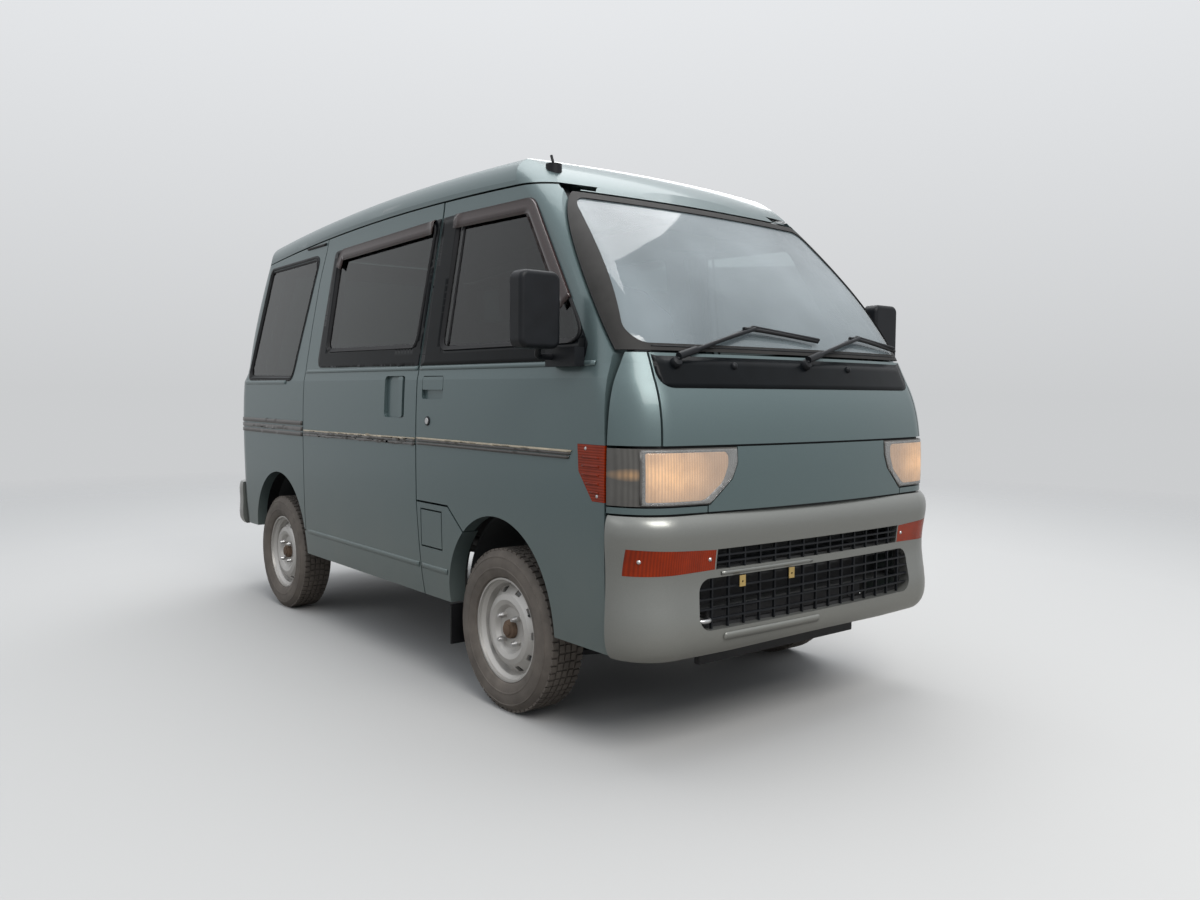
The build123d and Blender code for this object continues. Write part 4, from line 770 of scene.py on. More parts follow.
def tread_tree():
    """Blocks set round an axle that lies along X."""
    tree, nodes, links, start, end = tree_with("Tread blocks", (
        ("Count", "NodeSocketInt"), ("Radius", "NodeSocketFloat"), ("Block", "NodeSocketVector"),
        ("Centre", "NodeSocketVector"), ("Material", "NodeSocketMaterial"),
    ))
    ring = nodes.new("GeometryNodeMeshCircle")
    links.new(start.outputs["Count"], ring.inputs["Vertices"])
    links.new(start.outputs["Radius"], ring.inputs["Radius"])
    block = nodes.new("GeometryNodeMeshCube")
    links.new(start.outputs["Block"], block.inputs["Size"])
    step = nodes.new("ShaderNodeMath")
    step.operation = "DIVIDE"
    step.inputs[0].default_value = 2 * math.pi
    links.new(start.outputs["Count"], step.inputs[1])
    angle = nodes.new("ShaderNodeMath")
    angle.operation = "MULTIPLY"
    links.new(nodes.new("GeometryNodeInputIndex").outputs[0], angle.inputs[0])
    links.new(step.outputs[0], angle.inputs[1])
    euler = nodes.new("ShaderNodeCombineXYZ")
    links.new(angle.outputs[0], euler.inputs["Z"])
    turn = nodes.new("FunctionNodeEulerToRotation")
    links.new(euler.outputs[0], turn.inputs[0])
    spread = nodes.new("GeometryNodeInstanceOnPoints")
    links.new(ring.outputs[0], spread.inputs["Points"])
    links.new(block.outputs[0], spread.inputs["Instance"])
    links.new(turn.outputs[0], spread.inputs["Rotation"])
    place = nodes.new("GeometryNodeTransform")
    place.inputs["Rotation"].default_value = (0, math.pi / 2, 0)
    links.new(start.outputs["Centre"], place.inputs["Translation"])
    links.new(spread.outputs[0], place.inputs["Geometry"])
    real = nodes.new("GeometryNodeRealizeInstances")
    links.new(place.outputs[0], real.inputs[0])
    coat = nodes.new("GeometryNodeSetMaterial")
    links.new(real.outputs[0], coat.inputs["Geometry"])
    links.new(start.outputs["Material"], coat.inputs["Material"])
    links.new(coat.outputs[0], end.inputs[0])
    return tree


def screw_tree():
    """A screw head on each point, turned to where the point faces."""
    tree, nodes, links, start, end = tree_with("Screw heads", (
        ("Radius", "NodeSocketFloat"), ("Height", "NodeSocketFloat"), ("Material", "NodeSocketMaterial"),
    ))
    facing = nodes.new("GeometryNodeInputNamedAttribute")
    facing.data_type = "FLOAT_VECTOR"
    facing.inputs["Name"].default_value = "facing"
    turn = nodes.new("FunctionNodeAlignRotationToVector")
    turn.axis = "Z"
    links.new(facing.outputs["Attribute"], turn.inputs["Vector"])
    head = nodes.new("GeometryNodeMeshCone")
    head.inputs["Vertices"].default_value = 20
    links.new(start.outputs["Radius"], head.inputs["Radius Bottom"])
    links.new(start.outputs["Height"], head.inputs["Depth"])
    narrow = nodes.new("ShaderNodeMath")
    narrow.operation = "MULTIPLY"
    narrow.inputs[1].default_value = 0.55
    links.new(start.outputs["Radius"], narrow.inputs[0])
    links.new(narrow.outputs[0], head.inputs["Radius Top"])
    spread = nodes.new("GeometryNodeInstanceOnPoints")
    links.new(start.outputs["Geometry"], spread.inputs["Points"])
    links.new(head.outputs[0], spread.inputs["Instance"])
    links.new(turn.outputs[0], spread.inputs["Rotation"])
    real = nodes.new("GeometryNodeRealizeInstances")
    links.new(spread.outputs[0], real.inputs[0])
    coat = nodes.new("GeometryNodeSetMaterial")
    links.new(real.outputs[0], coat.inputs["Geometry"])
    links.new(start.outputs["Material"], coat.inputs["Material"])
    links.new(coat.outputs[0], end.inputs[0])
    return tree


def grow_tree(name, tree, values, seed_points=((0, 0, 0),), facings=None):
    """Run a node tree on some points and keep its result as a plain mesh."""
    base = bpy.data.meshes.new(name + "_points")
    base.from_pydata([tuple(p) for p in seed_points], [], [])
    if facings:
        spots = base.attributes.new("facing", "FLOAT_VECTOR", "POINT")
        for item, facing in zip(spots.data, facings):
            item.vector = facing
    holder = bpy.data.objects.new(name + "_holder", base)
    bpy.context.scene.collection.objects.link(holder)
    modifier = holder.modifiers.new("Grow", "NODES")
    modifier.node_group = tree
    for item in tree.interface.items_tree:
        if item.in_out == "INPUT" and item.name in values:
            modifier[item.identifier] = values[item.name]
    holder.update_tag()
    graph = bpy.context.evaluated_depsgraph_get()
    mesh = bpy.data.meshes.new_from_object(holder.evaluated_get(graph))
    mesh.name = name
    holder.modifiers.remove(modifier)
    bpy.data.objects.remove(holder)
    obj = bpy.data.objects.new(name, mesh)
    bpy.context.scene.collection.objects.link(obj)
    return obj


def screws(name, places, radius, height, finish, body):
    """Screw heads on a body at places that each give a point and a normal."""
    obj = grow_tree(
        name, TREES["screws"],
        {"Radius": radius, "Height": height, "Material": MATERIALS[finish]},
        [p for p, _ in places], [tuple(n) for _, n in places],
    )
    return adopt(obj, finish, body)


TREES = {}


# Outlines seen from the side, as length and height

FRONT_WINDOW = [(-0.525, 1.166), (-0.541, 1.623), (-0.991, 1.613), (-1.343, 1.166)]
SLIDING_WINDOW = [(-0.349, 1.180), (-0.383, 1.623), (0.433, 1.601), (0.448, 1.186)]
QUARTER_WINDOW = [(0.805, 1.076), (0.663, 1.600), (1.231, 1.592), (1.356, 1.082)]
FRONT_BAND = [(-0.3985, 1.110), (-0.4350, 1.632), (-0.544, 1.632), (-0.995, 1.622), (-1.356, 1.158), (-1.352, 1.110)]
SLIDING_BAND = [(-0.3850, 1.110), (-0.4185, 1.632), (0.488, 1.611), (0.528, 1.116)]
BEAD = [(-1.0, 0.0), (-0.7, 0.7), (0.0, 1.0), (0.7, 0.7), (1.0, 0.0)]


def resample(line, step, closed=False):
    points = [Vector(p) for p in line]
    if closed:
        points.append(points[0])
    out = []
    for a, b in zip(points, points[1:]):
        count = max(1, round((b - a).length / step))
        out += [a.lerp(b, k / count) for k in range(count)]
    if not closed:
        out.append(points[-1])
    return out


def strip(name, line, place, profile, finish, body, slot, closed=False, depth=0.001, step=0.02, sharp=50.0):
    """Band that follows a line on panels, with a cross-section of offset and height."""
    points = resample(line, step, closed)
    count = len(points)
    rows = []
    for i, p in enumerate(points):
        ahead = points[(i + 1) % count] if closed or i + 1 < count else p
        behind = points[i - 1] if closed or i else p
        along = (ahead - behind).normalized()
        across = Vector((-along.y, along.x))
        spots = [place(*(p + across * a)) for a, _ in profile]
        if all(spots):
            outward = spots[0][1]
            rows.append([spot[0] + spot[1] * h for spot, (_, h) in zip(spots, profile)])
    width = len(profile)
    verts = [v for row in rows for v in row]
    last = len(rows) if closed else len(rows) - 1
    faces = []
    for r in range(last):
        n = (r + 1) % len(rows)
        for k in range(width - 1):
            faces.append((r * width + k, n * width + k, n * width + k + 1, r * width + k + 1))
    if not faces:
        raise RuntimeError(f"{name} found no panel to lie on")
    f = faces[len(faces) // 2]
    facing = (verts[f[1]] - verts[f[0]]).cross(verts[f[2]] - verts[f[0]])
    if facing.dot(outward) < 0:
        faces = [tuple(reversed(face)) for face in faces]
    obj = mesh_object(name, verts, faces, tidy=False)
    wall = obj.modifiers.new("Thickness", "SOLIDIFY")
    wall.thickness = depth
    wall.offset = -1.0
    return adopt(obj, finish, body, sharp)


def bead(name, line, place, half_width, height, finish, body, slot, **more):
    profile = [(a * half_width, h * height + 0.0002) for a, h in BEAD]
    return strip(name, line, place, profile, finish, body, slot, **more)


def merged(name, pieces):
    """One mesh of several unfinished objects."""
    bm = bmesh.new()
    for piece in pieces:
        bm.from_mesh(piece.data)
        bpy.data.objects.remove(piece)
    mesh = bpy.data.meshes.new(name)
    bm.to_mesh(mesh)
    bm.free()
    obj = bpy.data.objects.new(name, mesh)
    bpy.context.scene.collection.objects.link(obj)
    return obj


class VAN_OT_trees(bpy.types.Operator):
    """Build the node trees that repeat screws and tread blocks"""
    bl_idname = "van.trees"
    bl_label = "Node trees"

    def execute(self, context):
        TREES["screws"] = screw_tree()
        TREES["tread"] = tread_tree()
        return {"FINISHED"}


class VAN_OT_windows(bpy.types.Operator):
    """Black bands, rubbers and rain visors round the side windows"""
    bl_idname = "van.windows"
    bl_label = "Side windows"

    def execute(self, context):
        lift = context.scene.van_sizes.band_lift
        seal = context.scene.van_sizes.seal_width
        front_ring = rounded(FRONT_WINDOW, 0.038)
        sliding_ring = rounded(SLIDING_WINDOW, 0.038)
        quarter_ring = rounded(QUARTER_WINDOW, 0.034)
        front_band = rounded(FRONT_BAND, [0.004, 0.006, 0.0, 0.05, 0.02, 0.03])
        sliding_band = rounded(SLIDING_BAND, [0.004, 0.006, 0.03, 0.045])
        visor_front = rounded([(-0.528, 1.625), (-0.990, 1.615), (-1.246, 1.288)], [0, 0.07, 0])
        visor_rear = rounded([(0.443, 1.540), (0.418, 1.606), (-0.378, 1.624)], [0, 0.05, 0])
        visor = [(-0.010, 0.002), (-0.006, 0.009), (0.004, 0.0125), (0.020, 0.0145), (0.044, 0.0135)]
        for side, word in SIDES:
            door, slider, quarter = f"front_door_{word}", f"sliding_door_{word}", f"side_panel_{word}"
            at_door = on_side(side, door)
            at_slider = on_side(side, slider)
            at_quarter = on_side(side, quarter)
            glass = f"front_door_glass_{word}"
            cladding(f"window_band_{word}", front_band, at_door, "band", door,
                     holes=[rounded(grown(FRONT_WINDOW, 0.0045), 0.042)], lift=lift)
            cladding(f"slider_band_{word}", sliding_band, at_slider, "band", "body",
                     holes=[rounded(grown(SLIDING_WINDOW, 0.0045), 0.042)], lift=lift)
            cladding(f"quarter_seal_{word}", rounded(grown(QUARTER_WINDOW, seal), 0.046), at_quarter, "rubber",
                     "body", holes=[rounded(grown(QUARTER_WINDOW, 0.0045), 0.038)], lift=0.0016)
            bead(f"door_window_rubber_{word}", rounded(grown(FRONT_WINDOW, -0.001), 0.038),
                 on_side(side, door, glass), 0.009, 0.0055, "rubber", door, "rubber", closed=True)
            bead(f"slider_window_rubber_{word}", rounded(grown(SLIDING_WINDOW, -0.001), 0.038),
                 on_side(side, slider, "side_windows"), 0.009, 0.0055, "rubber", "body", "rubber", closed=True)
            bead(f"quarter_window_rubber_{word}", rounded(grown(QUARTER_WINDOW, -0.001), 0.034),
                 on_side(side, quarter, "side_windows"), 0.008, 0.0045, "rubber", "body", "rubber", closed=True)
            bead(f"window_channel_{word}", [(-0.567, 1.176), (-0.580, 1.612)], on_side(side, glass),
                 0.006, 0.004, "rubber", door, "rubber")
            strip(f"door_visor_{word}", visor_front, on_side(side, door, glass), visor, "visor", door,
                  "black_plastic", depth=0.0025)
            strip(f"slider_visor_{word}", visor_rear, on_side(side, slider, "side_windows"), visor, "visor",
                  "body", "black_plastic", depth=0.0025)
            bead(f"belt_line_{word}", [(-0.402, 1.101), (-1.400, 1.101)], at_door, 0.008, 0.0045,
                 "body", door, "body_paint")
            bead(f"slider_belt_line_{word}", [(-0.384, 1.101), (0.636, 1.101)], at_slider, 0.008, 0.0045,
                 "body", "body", "body_paint")
            bead(f"quarter_crease_{word}", [(0.860, 1.056), (1.40, 1.056)], at_quarter, 0.010, 0.003,
                 "body", "body", "body_paint")
            bead(f"quarter_drip_{word}", [(0.600, 1.657), (1.240, 1.652)], at_quarter, 0.006, 0.006,
                 "rubber", "body", "rubber")
        return {"FINISHED"}


class VAN_OT_stripes(bpy.types.Operator):
    """Side stripes, sill lines and the door locks"""
    bl_idname = "van.stripes"
    bl_label = "Stripes"

    def execute(self, context):
        lift = context.scene.van_sizes.stripe_lift
        for side, word in SIDES:
            door = f"front_door_{word}"
            at_door = on_side(side, door)
            at_slider = on_side(side, f"sliding_door_{word}")
            at_quarter = on_side(side, f"side_panel_{word}")
            bands = (("pale", 0.851, 0.857, "stripe_pale"), ("upper", 0.842, 0.8495, "stripe"),
                     ("lower", 0.831, 0.8395, "stripe"))
            for label, low, high, finish in bands:
                cladding(f"door_stripe_{label}_{word}",
                         [(-0.399, low), (-0.399, high), (-1.300 - (high - 0.831) * 0.6, high),
                          (-1.300 - (low - 0.831) * 0.6, low)],
                         at_door, finish, door, lift=lift, depth=0.0042, step=0.02)
                cladding(f"slider_stripe_{label}_{word}",
                         [(-0.386, low - 0.003), (-0.386, high - 0.003), (0.638, high - 0.010), (0.638, low - 0.010)],
                         at_slider, finish, "body", lift=lift, depth=0.0042, step=0.02)
            for k, (low, high) in enumerate(((0.817, 0.834), (0.841, 0.858), (0.865, 0.884))):
                cladding(f"quarter_stripe_{k}_{word}", [(0.654, low), (0.654, high), (1.446, high), (1.446, low)],
                         at_quarter, "stripe", "body", lift=lift, depth=0.0042, step=0.02)
            hit, normal = at_door(-0.477, 0.916)
            turned(f"lock_ring_{word}", [(0.0165, -0.003), (0.0165, 0.002), (0.0150, 0.0035), (0.0120, 0.0035)], 32,
                   hit, normal, "plastic", door)
            turned(f"lock_{word}", [(0.0115, 0.001), (0.0115, 0.0045), (0.0100, 0.0055), (0.0030, 0.0050)], 32,
                   hit, normal, "steel", door)
            bead(f"door_rocker_line_{word}", [(-0.420, 0.400), (-0.640, 0.400)], on_side(side, f"side_panel_{word}"),
                 0.010, 0.003, "body", "body", "body_paint")
            bead(f"slider_rocker_line_{word}", [(-0.400, 0.400), (0.620, 0.400)], at_slider,
                 0.010, 0.003, "body", "body", "body_paint")
        return {"FINISHED"}


class VAN_OT_lamps(bpy.types.Operator):
    """Lit headlamps, signals, side lamps and tail lamps"""
    bl_idname = "van.lamps"
    bl_label = "Lamps"

    def execute(self, context):
        at_lamp = on_front("headlights")
        for side, word in SIDES:
            def flip(ring):
                return [(side * x, z) for x, z in ring]

            main = rounded(flip([(0.378, 0.859), (0.378, 0.820), (0.398, 0.775), (0.462, 0.727), (0.634, 0.727),
                                 (0.634, 0.859)]), [0.025, 0.05, 0.05, 0.05, 0.006, 0.006])
            cladding(f"lamp_reflector_{word}", main, at_lamp, "lit", "body", depth=0.0006,
                     lift=lambda x, z: 0.0016 + 0.0006 * math.cos(2 * math.pi * x / 0.017), step=0.004, grid=0.0042,
                     sharp=60)
            bezel = rounded(flip([(0.344, 0.868), (0.344, 0.826), (0.364, 0.781), (0.441, 0.717), (0.644, 0.717),
                                  (0.644, 0.868)]), [0.006, 0.02, 0.02, 0.02, 0.002, 0.002])
            cladding(f"lamp_bezel_{word}", bezel, at_lamp, "bezel", "body", holes=[main],
                     lift=0.0018, depth=0.0015, step=0.01, grid=0.015)
            cover = rounded(flip([(0.346, 0.866), (0.346, 0.827), (0.366, 0.783), (0.442, 0.719), (0.642, 0.719),
                                  (0.642, 0.866)]), [0.006, 0.02, 0.02, 0.02, 0.002, 0.002])
            cladding(f"lamp_cover_{word}", cover, at_lamp, "lens", "body",
                     lift=0.0040, depth=0.0012, step=0.01, grid=0.015)
            bead(f"lamp_divider_{word}", [(side * 0.643, 0.722), (side * 0.643, 0.864)], at_lamp, 0.0032, 0.0048,
                 "bezel", "body", "grey_plastic", step=0.03)
            signal = on_front("bumper_signals")
            spots = [signal(side * x, z) for x, z in ((0.445, 0.563), (0.655, 0.568))]
            screws(f"signal_screws_{word}", [s for s in spots if s], 0.006, 0.003, "steel", "body")
            lamp = on_side(side, f"side_lamp_{word}")
            spots = [lamp(y, z) for y, z in ((-1.378, 0.865), (-1.430, 0.735))]
            screws(f"side_lamp_screws_{word}", [s for s in spots if s], 0.005, 0.002, "steel",
                   f"front_door_{word}")
            for k in range(5):
                z = 0.745 + 0.024 * k
                bead(f"side_lamp_rib_{k}_{word}", [(-1.362, z), (-1.438, z)], lamp, 0.0035, 0.0012,
                     "amber", f"front_door_{word}", "amber_lens", step=0.01)
            tail = on_rear("tail_lamps")
            for label, low, high, finish, slot in (("signal", 0.880, 0.978, "amber", "amber_lens"),
                                                   ("reverse", 0.698, 0.750, "clear_lens", "lamp_lens")):
                cladding(f"tail_{label}_{word}", flip([(0.590, low), (0.590, high), (0.655, high), (0.655, low)]),
                         tail, finish, "body", lift=0.0008, step=0.02, grid=0.02)
        return {"FINISHED"}


class VAN_OT_front(bpy.types.Operator):
    """Scuttle band, washer nozzles, bumper details and tow hook"""
    bl_idname = "van.front"
    bl_label = "Front details"

    def execute(self, context):
        upper = on_front("front_upper_panel")
        slope = math.sqrt(0.5)
        from_above = caster(lambda x, z: (x, -1.6 - 0.5 * slope, z + 0.5 * slope), (0, slope, -slope), 0.68,
                            ["front_upper_panel"])
        crown_z = 1.108

        def over_crown(x, z):
            """Follows the panel's face and then its rounded top towards the screen."""
            if z <= crown_z:
                return upper(x, z)
            crown = upper(x, crown_z)
            return from_above(x, crown[0].z + crown[0].y + 1.6 + (z - crown_z) * 1.7) if crown else None

        scuttle = rounded([(-0.5665, 1.170), (-0.5765, 1.034), (0.5765, 1.034), (0.5665, 1.170)], [0.0, 0.05, 0.05, 0.0])
        cladding("scuttle_band", scuttle, over_crown, "band", "body", lift=0.0014)
        bead("seal_line", [(-0.560, 1.150), (0.560, 1.150)], on_front("windscreen_seal"), 0.002, 0.0015,
             "plastic", "body", "rubber")
        for k, x in enumerate((-0.292, 0.226)):
            hit, normal = upper(x, 1.098)
            turned(f"washer_nozzle_{k}", [(0.011, -0.002), (0.0105, 0.005), (0.008, 0.009), (0.004, 0.011)], 24,
                   hit, normal, "plastic", "body")
        for k, (x, z) in enumerate(((-0.500, 1.103), (0.013, 1.106))):
            spot = upper(x, z)
            if spot:
                turned(f"wiper_pivot_{k}", [(0.017, -0.002), (0.017, 0.010), (0.013, 0.017), (0.006, 0.019)], 28,
                       spot[0], spot[1], "plastic", "body")
        bumper = on_front("front_bumper")
        pad = rounded([(-0.400, 0.334), (-0.400, 0.356), (0.0, 0.356), (0.0, 0.334)], 0.009)
        cladding("plate_pad", pad, bumper, "bumper", "body", lift=0.004, depth=0.005, step=0.01, grid=0.02)
        bead("plate_ridge", [(-0.400, 0.5205), (-0.020, 0.5205)], bumper, 0.006, 0.004, "bumper", "body", "bumper_paint")
        hook = [(-0.484, -1.540, 0.393), (-0.484, -1.600, 0.393), (-0.478, -1.622, 0.393), (-0.458, -1.628, 0.393),
                (-0.440, -1.622, 0.393), (-0.434, -1.600, 0.393), (-0.434, -1.540, 0.393)]
        tube("tow_hook", hook, 0.0065, "steel", "body")
        for k, (pivot, elbow, tip) in enumerate((
            ((-0.500, -1.546, 1.122), (-0.165, -1.520, 1.212), (0.112, -1.530, 1.184)),
            ((0.013, -1.576, 1.124), (0.343, -1.516, 1.204), (0.575, -1.492, 1.170)),
        )):
            near = tuple(Vector(pivot).lerp(Vector(elbow), 0.22))
            tube(f"wiper_arm_{k}", [pivot, near], 0.011, "plastic", "body", order=2)
            middle = tuple(Vector(near).lerp(Vector(elbow), 0.62) + Vector((0, -0.004, 0.004)))
            tube(f"wiper_rod_{k}", [near, middle, elbow], 0.0062, "plastic", "body")
            tube(f"wiper_blade_{k}", [tuple(Vector(elbow) - Vector((0.05, 0.0, 0.002))), elbow, tip], 0.0058, "rubber",
                 "body")
        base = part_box("antenna_base")
        x = (base[0][0] + base[1][0]) / 2
        y = (base[0][1] + base[1][1]) / 2
        tube("aerial_stub", [(x, y, base[1][2] - 0.006), (x, y + 0.006, base[1][2] + 0.012),
                             (x, y + 0.014, base[1][2] + 0.030)], 0.0045, "plastic", "body")
        return {"FINISHED"}


class VAN_OT_mirrors(bpy.types.Operator):
    """Mirror glass in the door mirrors and the mirror in the cabin"""
    bl_idname = "van.mirrors"
    bl_label = "Mirrors"

    def execute(self, context):
        for side, word in SIDES:
            node = f"mirror_{word}"
            back = caster(lambda x, z: (x, 0.0, z), (0, -1, 0), 1.5, [node])
            face = [(side * 0.734, 1.156), (side * 0.734, 1.338), (side * 0.850, 1.338), (side * 0.850, 1.156)]
            cladding(f"mirror_glass_{word}", rounded(face, 0.016), back, "mirror", f"front_door_{word}",
                     lift=0.0006, step=0.012, grid=0.03)
        soft_box("cabin_mirror", (-0.115, -1.075, 1.500), (0.115, -1.050, 1.565), 0.010, "plastic", "body")
        tube("cabin_mirror_stalk", [(0, -1.064, 1.560), (0, -1.060, 1.590), (0, -1.050, 1.620)], 0.006, "plastic",
             "body")
        for side, word in SIDES:
            soft_box(f"sun_visor_{word}", (side * 0.30 - 0.17, -1.075, 1.585), (side * 0.30 + 0.17, -0.945, 1.603),
                     0.007, "trim", "body")
        return {"FINISHED"}


class VAN_OT_cabin(bpy.types.Operator):
    """Pressed toe board behind the nose and linings on the doors"""
    bl_idname = "van.cabin"
    bl_label = "Cabin"

    def execute(self, context):
        across, upwards = 96, 24
        verts, faces = [], []
        for j in range(upwards + 1):
            z = 0.372 + (0.800 - 0.372) * j / upwards
            for i in range(across + 1):
                x = -0.53 + 1.06 * i / across
                edge = min(j, upwards - j, 3) / 3
                verts.append((x, -1.474 + 0.004 * edge * max(0.0, math.cos(2 * math.pi * x / 0.13)), z))
        width = across + 1
        for j in range(upwards):
            for i in range(across):
                a = j * width + i
                faces.append((a + 1, a, a + width, a + width + 1))
        board = mesh_object("toe_board", verts, faces, tidy=False)
        wall = board.modifiers.new("Thickness", "SOLIDIFY")
        wall.thickness = 0.002
        wall.offset = -1.0
        adopt(board, "inner", "body", 40)
        soft_box("radiator_core", (-0.36, -1.502, 0.225), (0.36, -1.478, 0.520), 0.004, "chassis", "body")
        arch_y, arch_z, inner_r, outer_r, steps = REAR_AXLE_Y - 0.017, 0.335, 0.3132, 0.3168, 48
        for side, word in SIDES:
            wall_of = caster(lambda y, z: (side * 0.30, y, z), (side, 0, 0), 0.5, [f"side_panel_{word}"])
            verts, faces = [], []
            for k in range(steps + 1):
                turn = math.pi * k / steps
                found = wall_of(arch_y + 0.319 * math.cos(turn), arch_z + 0.319 * math.sin(turn))
                reach = abs(found[0].x) + 0.003 if found and found[0] else 0.63
                for radius in (inner_r, outer_r):
                    y, z = arch_y + radius * math.cos(turn), arch_z + radius * math.sin(turn)
                    verts += [(side * 0.587, y, z), (side * reach, y, z)]
            for a in range(0, 4 * steps, 4):
                b = a + 4
                faces += [(a, b, b + 1, a + 1), (a + 2, a + 3, b + 3, b + 2),
                          (a, a + 2, b + 2, b), (a + 1, b + 1, b + 3, a + 3)]
            faces += [(0, 1, 3, 2), (4 * steps, 4 * steps + 2, 4 * steps + 3, 4 * steps + 1)]
            adopt(mesh_object(f"arch_sleeve_{word}", verts, faces), "rubber", "body", 40)
        for side, word in SIDES:
            door = f"front_door_{word}"
            back = caster(lambda y, z: (side * 0.30, y, z), (side, 0, 0), 0.5, [door])
            card = rounded([(-0.47, 0.46), (-0.47, 1.045), (-1.24, 1.045), (-1.24, 0.70), (-1.16, 0.62), (-0.66, 0.62),
                            (-0.60, 0.46)], [0.04, 0.03, 0.03, 0.05, 0.03, 0.05, 0.03])
            cladding(f"door_card_{word}", card, back, "trim", door, lift=0.0025, depth=0.002,
                     step=0.03, grid=0.05)
            rest = [back(y, 0.86) for y in (-0.58, -0.70, -0.82, -0.94)]
            if all(rest):
                tube(f"arm_rest_{word}", [p + n * d for (p, n), d in zip(rest, (0.004, 0.030, 0.030, 0.004))], 0.013,
                     "plastic", door)
        return {"FINISHED"}


class VAN_OT_wheels(bpy.types.Operator):
    """Tyres with tread blocks and sidewall rings, hubs and wheel nuts"""
    bl_idname = "van.wheels"
    bl_label = "Wheels"

    def execute(self, context):
        depth = context.scene.van_sizes.tread_depth
        base = TYRE_R - depth
        outer = [(0.1680, 0.0560), (0.1715, 0.0640), (0.1800, 0.0690), (0.1900, 0.0722), (0.1960, 0.0734),
                 (0.1972, 0.0748), (0.2010, 0.0750), (0.2022, 0.0742), (0.2120, 0.0748), (0.2230, 0.0742),
                 (0.2330, 0.0722), (0.2342, 0.0732), (0.2372, 0.0726), (0.2384, 0.0700), (0.2450, 0.0660),
                 (0.2510, 0.0600), (base, 0.0560)]
        profile = outer + [(base, 0.0), (base, -0.0560)] + [(r, -h) for r, h in reversed(outer[:-1])] + [
            (0.1640, -0.0500), (0.1640, 0.0500), outer[0]]
        rows = ((0.0, 0.016), (0.0225, 0.017), (-0.0225, 0.017), (0.0465, 0.021), (-0.0465, 0.021))
        for end, axle in (("front", FRONT_AXLE_Y), ("rear", REAR_AXLE_Y)):
            for side, word in SIDES:
                body, rim = f"wheel_{end}_{word}", f"rim_{end}_{word}"
                middle = Vector((side * TRACK_HALF, axle, TYRE_R))
                turn = Matrix.Translation(middle) @ Vector((side, 0, 0)).to_track_quat("Z", "Y").to_matrix().to_4x4()
                verts, faces = lathe(profile, 96, turn)
                parts = [mesh_object("carcass", verts, faces)]
                for k, (across, width) in enumerate(rows):
                    parts.append(grow_tree("blocks", TREES["tread"], {
                        "Count": 58 if k < 3 else 64, "Radius": TYRE_R - depth / 2 - 0.0005,
                        "Block": (depth + 0.001, 0.0225 if k < 3 else 0.0185, width),
                        "Centre": tuple(middle + Vector((across, 0, 0))), "Material": MATERIALS["tyre"],
                    }))
                tyre = merged(f"road_tyre_{end}_{word}", parts)
                adopt(tyre, "tyre", body, 30, replaces=(f"tyre_{end}_{word}",))
                face = on_side(side, rim)
                ring = [face(axle + 0.055 * math.cos(a), TYRE_R + 0.055 * math.sin(a))
                        for a in (math.pi / 4 + k * math.pi / 2 for k in range(4))]
                screws(f"wheel_nuts_{end}_{word}", [s for s in ring if s], 0.0105, 0.016, "steel", body)
                spot = face(axle + 0.042, TYRE_R)
                x = spot[0].x if spot else side * (TRACK_HALF + 0.02)
                turned(f"hub_cap_{end}_{word}", [(0.0305, -0.020), (0.0305, 0.010), (0.0285, 0.016), (0.0200, 0.019),
                                                 (0.0190, 0.024), (0.0120, 0.026)], 40,
                       (x, axle, TYRE_R), (side, 0, 0), "rust", body)
                at = face(axle - 0.108, TYRE_R + 0.060)
                if at:
                    a, n = at
                    tube(f"valve_{end}_{word}", [a - n * 0.004, a + n * 0.010, a + n * 0.020], 0.0035, "rubber", body)
        return {"FINISHED"}


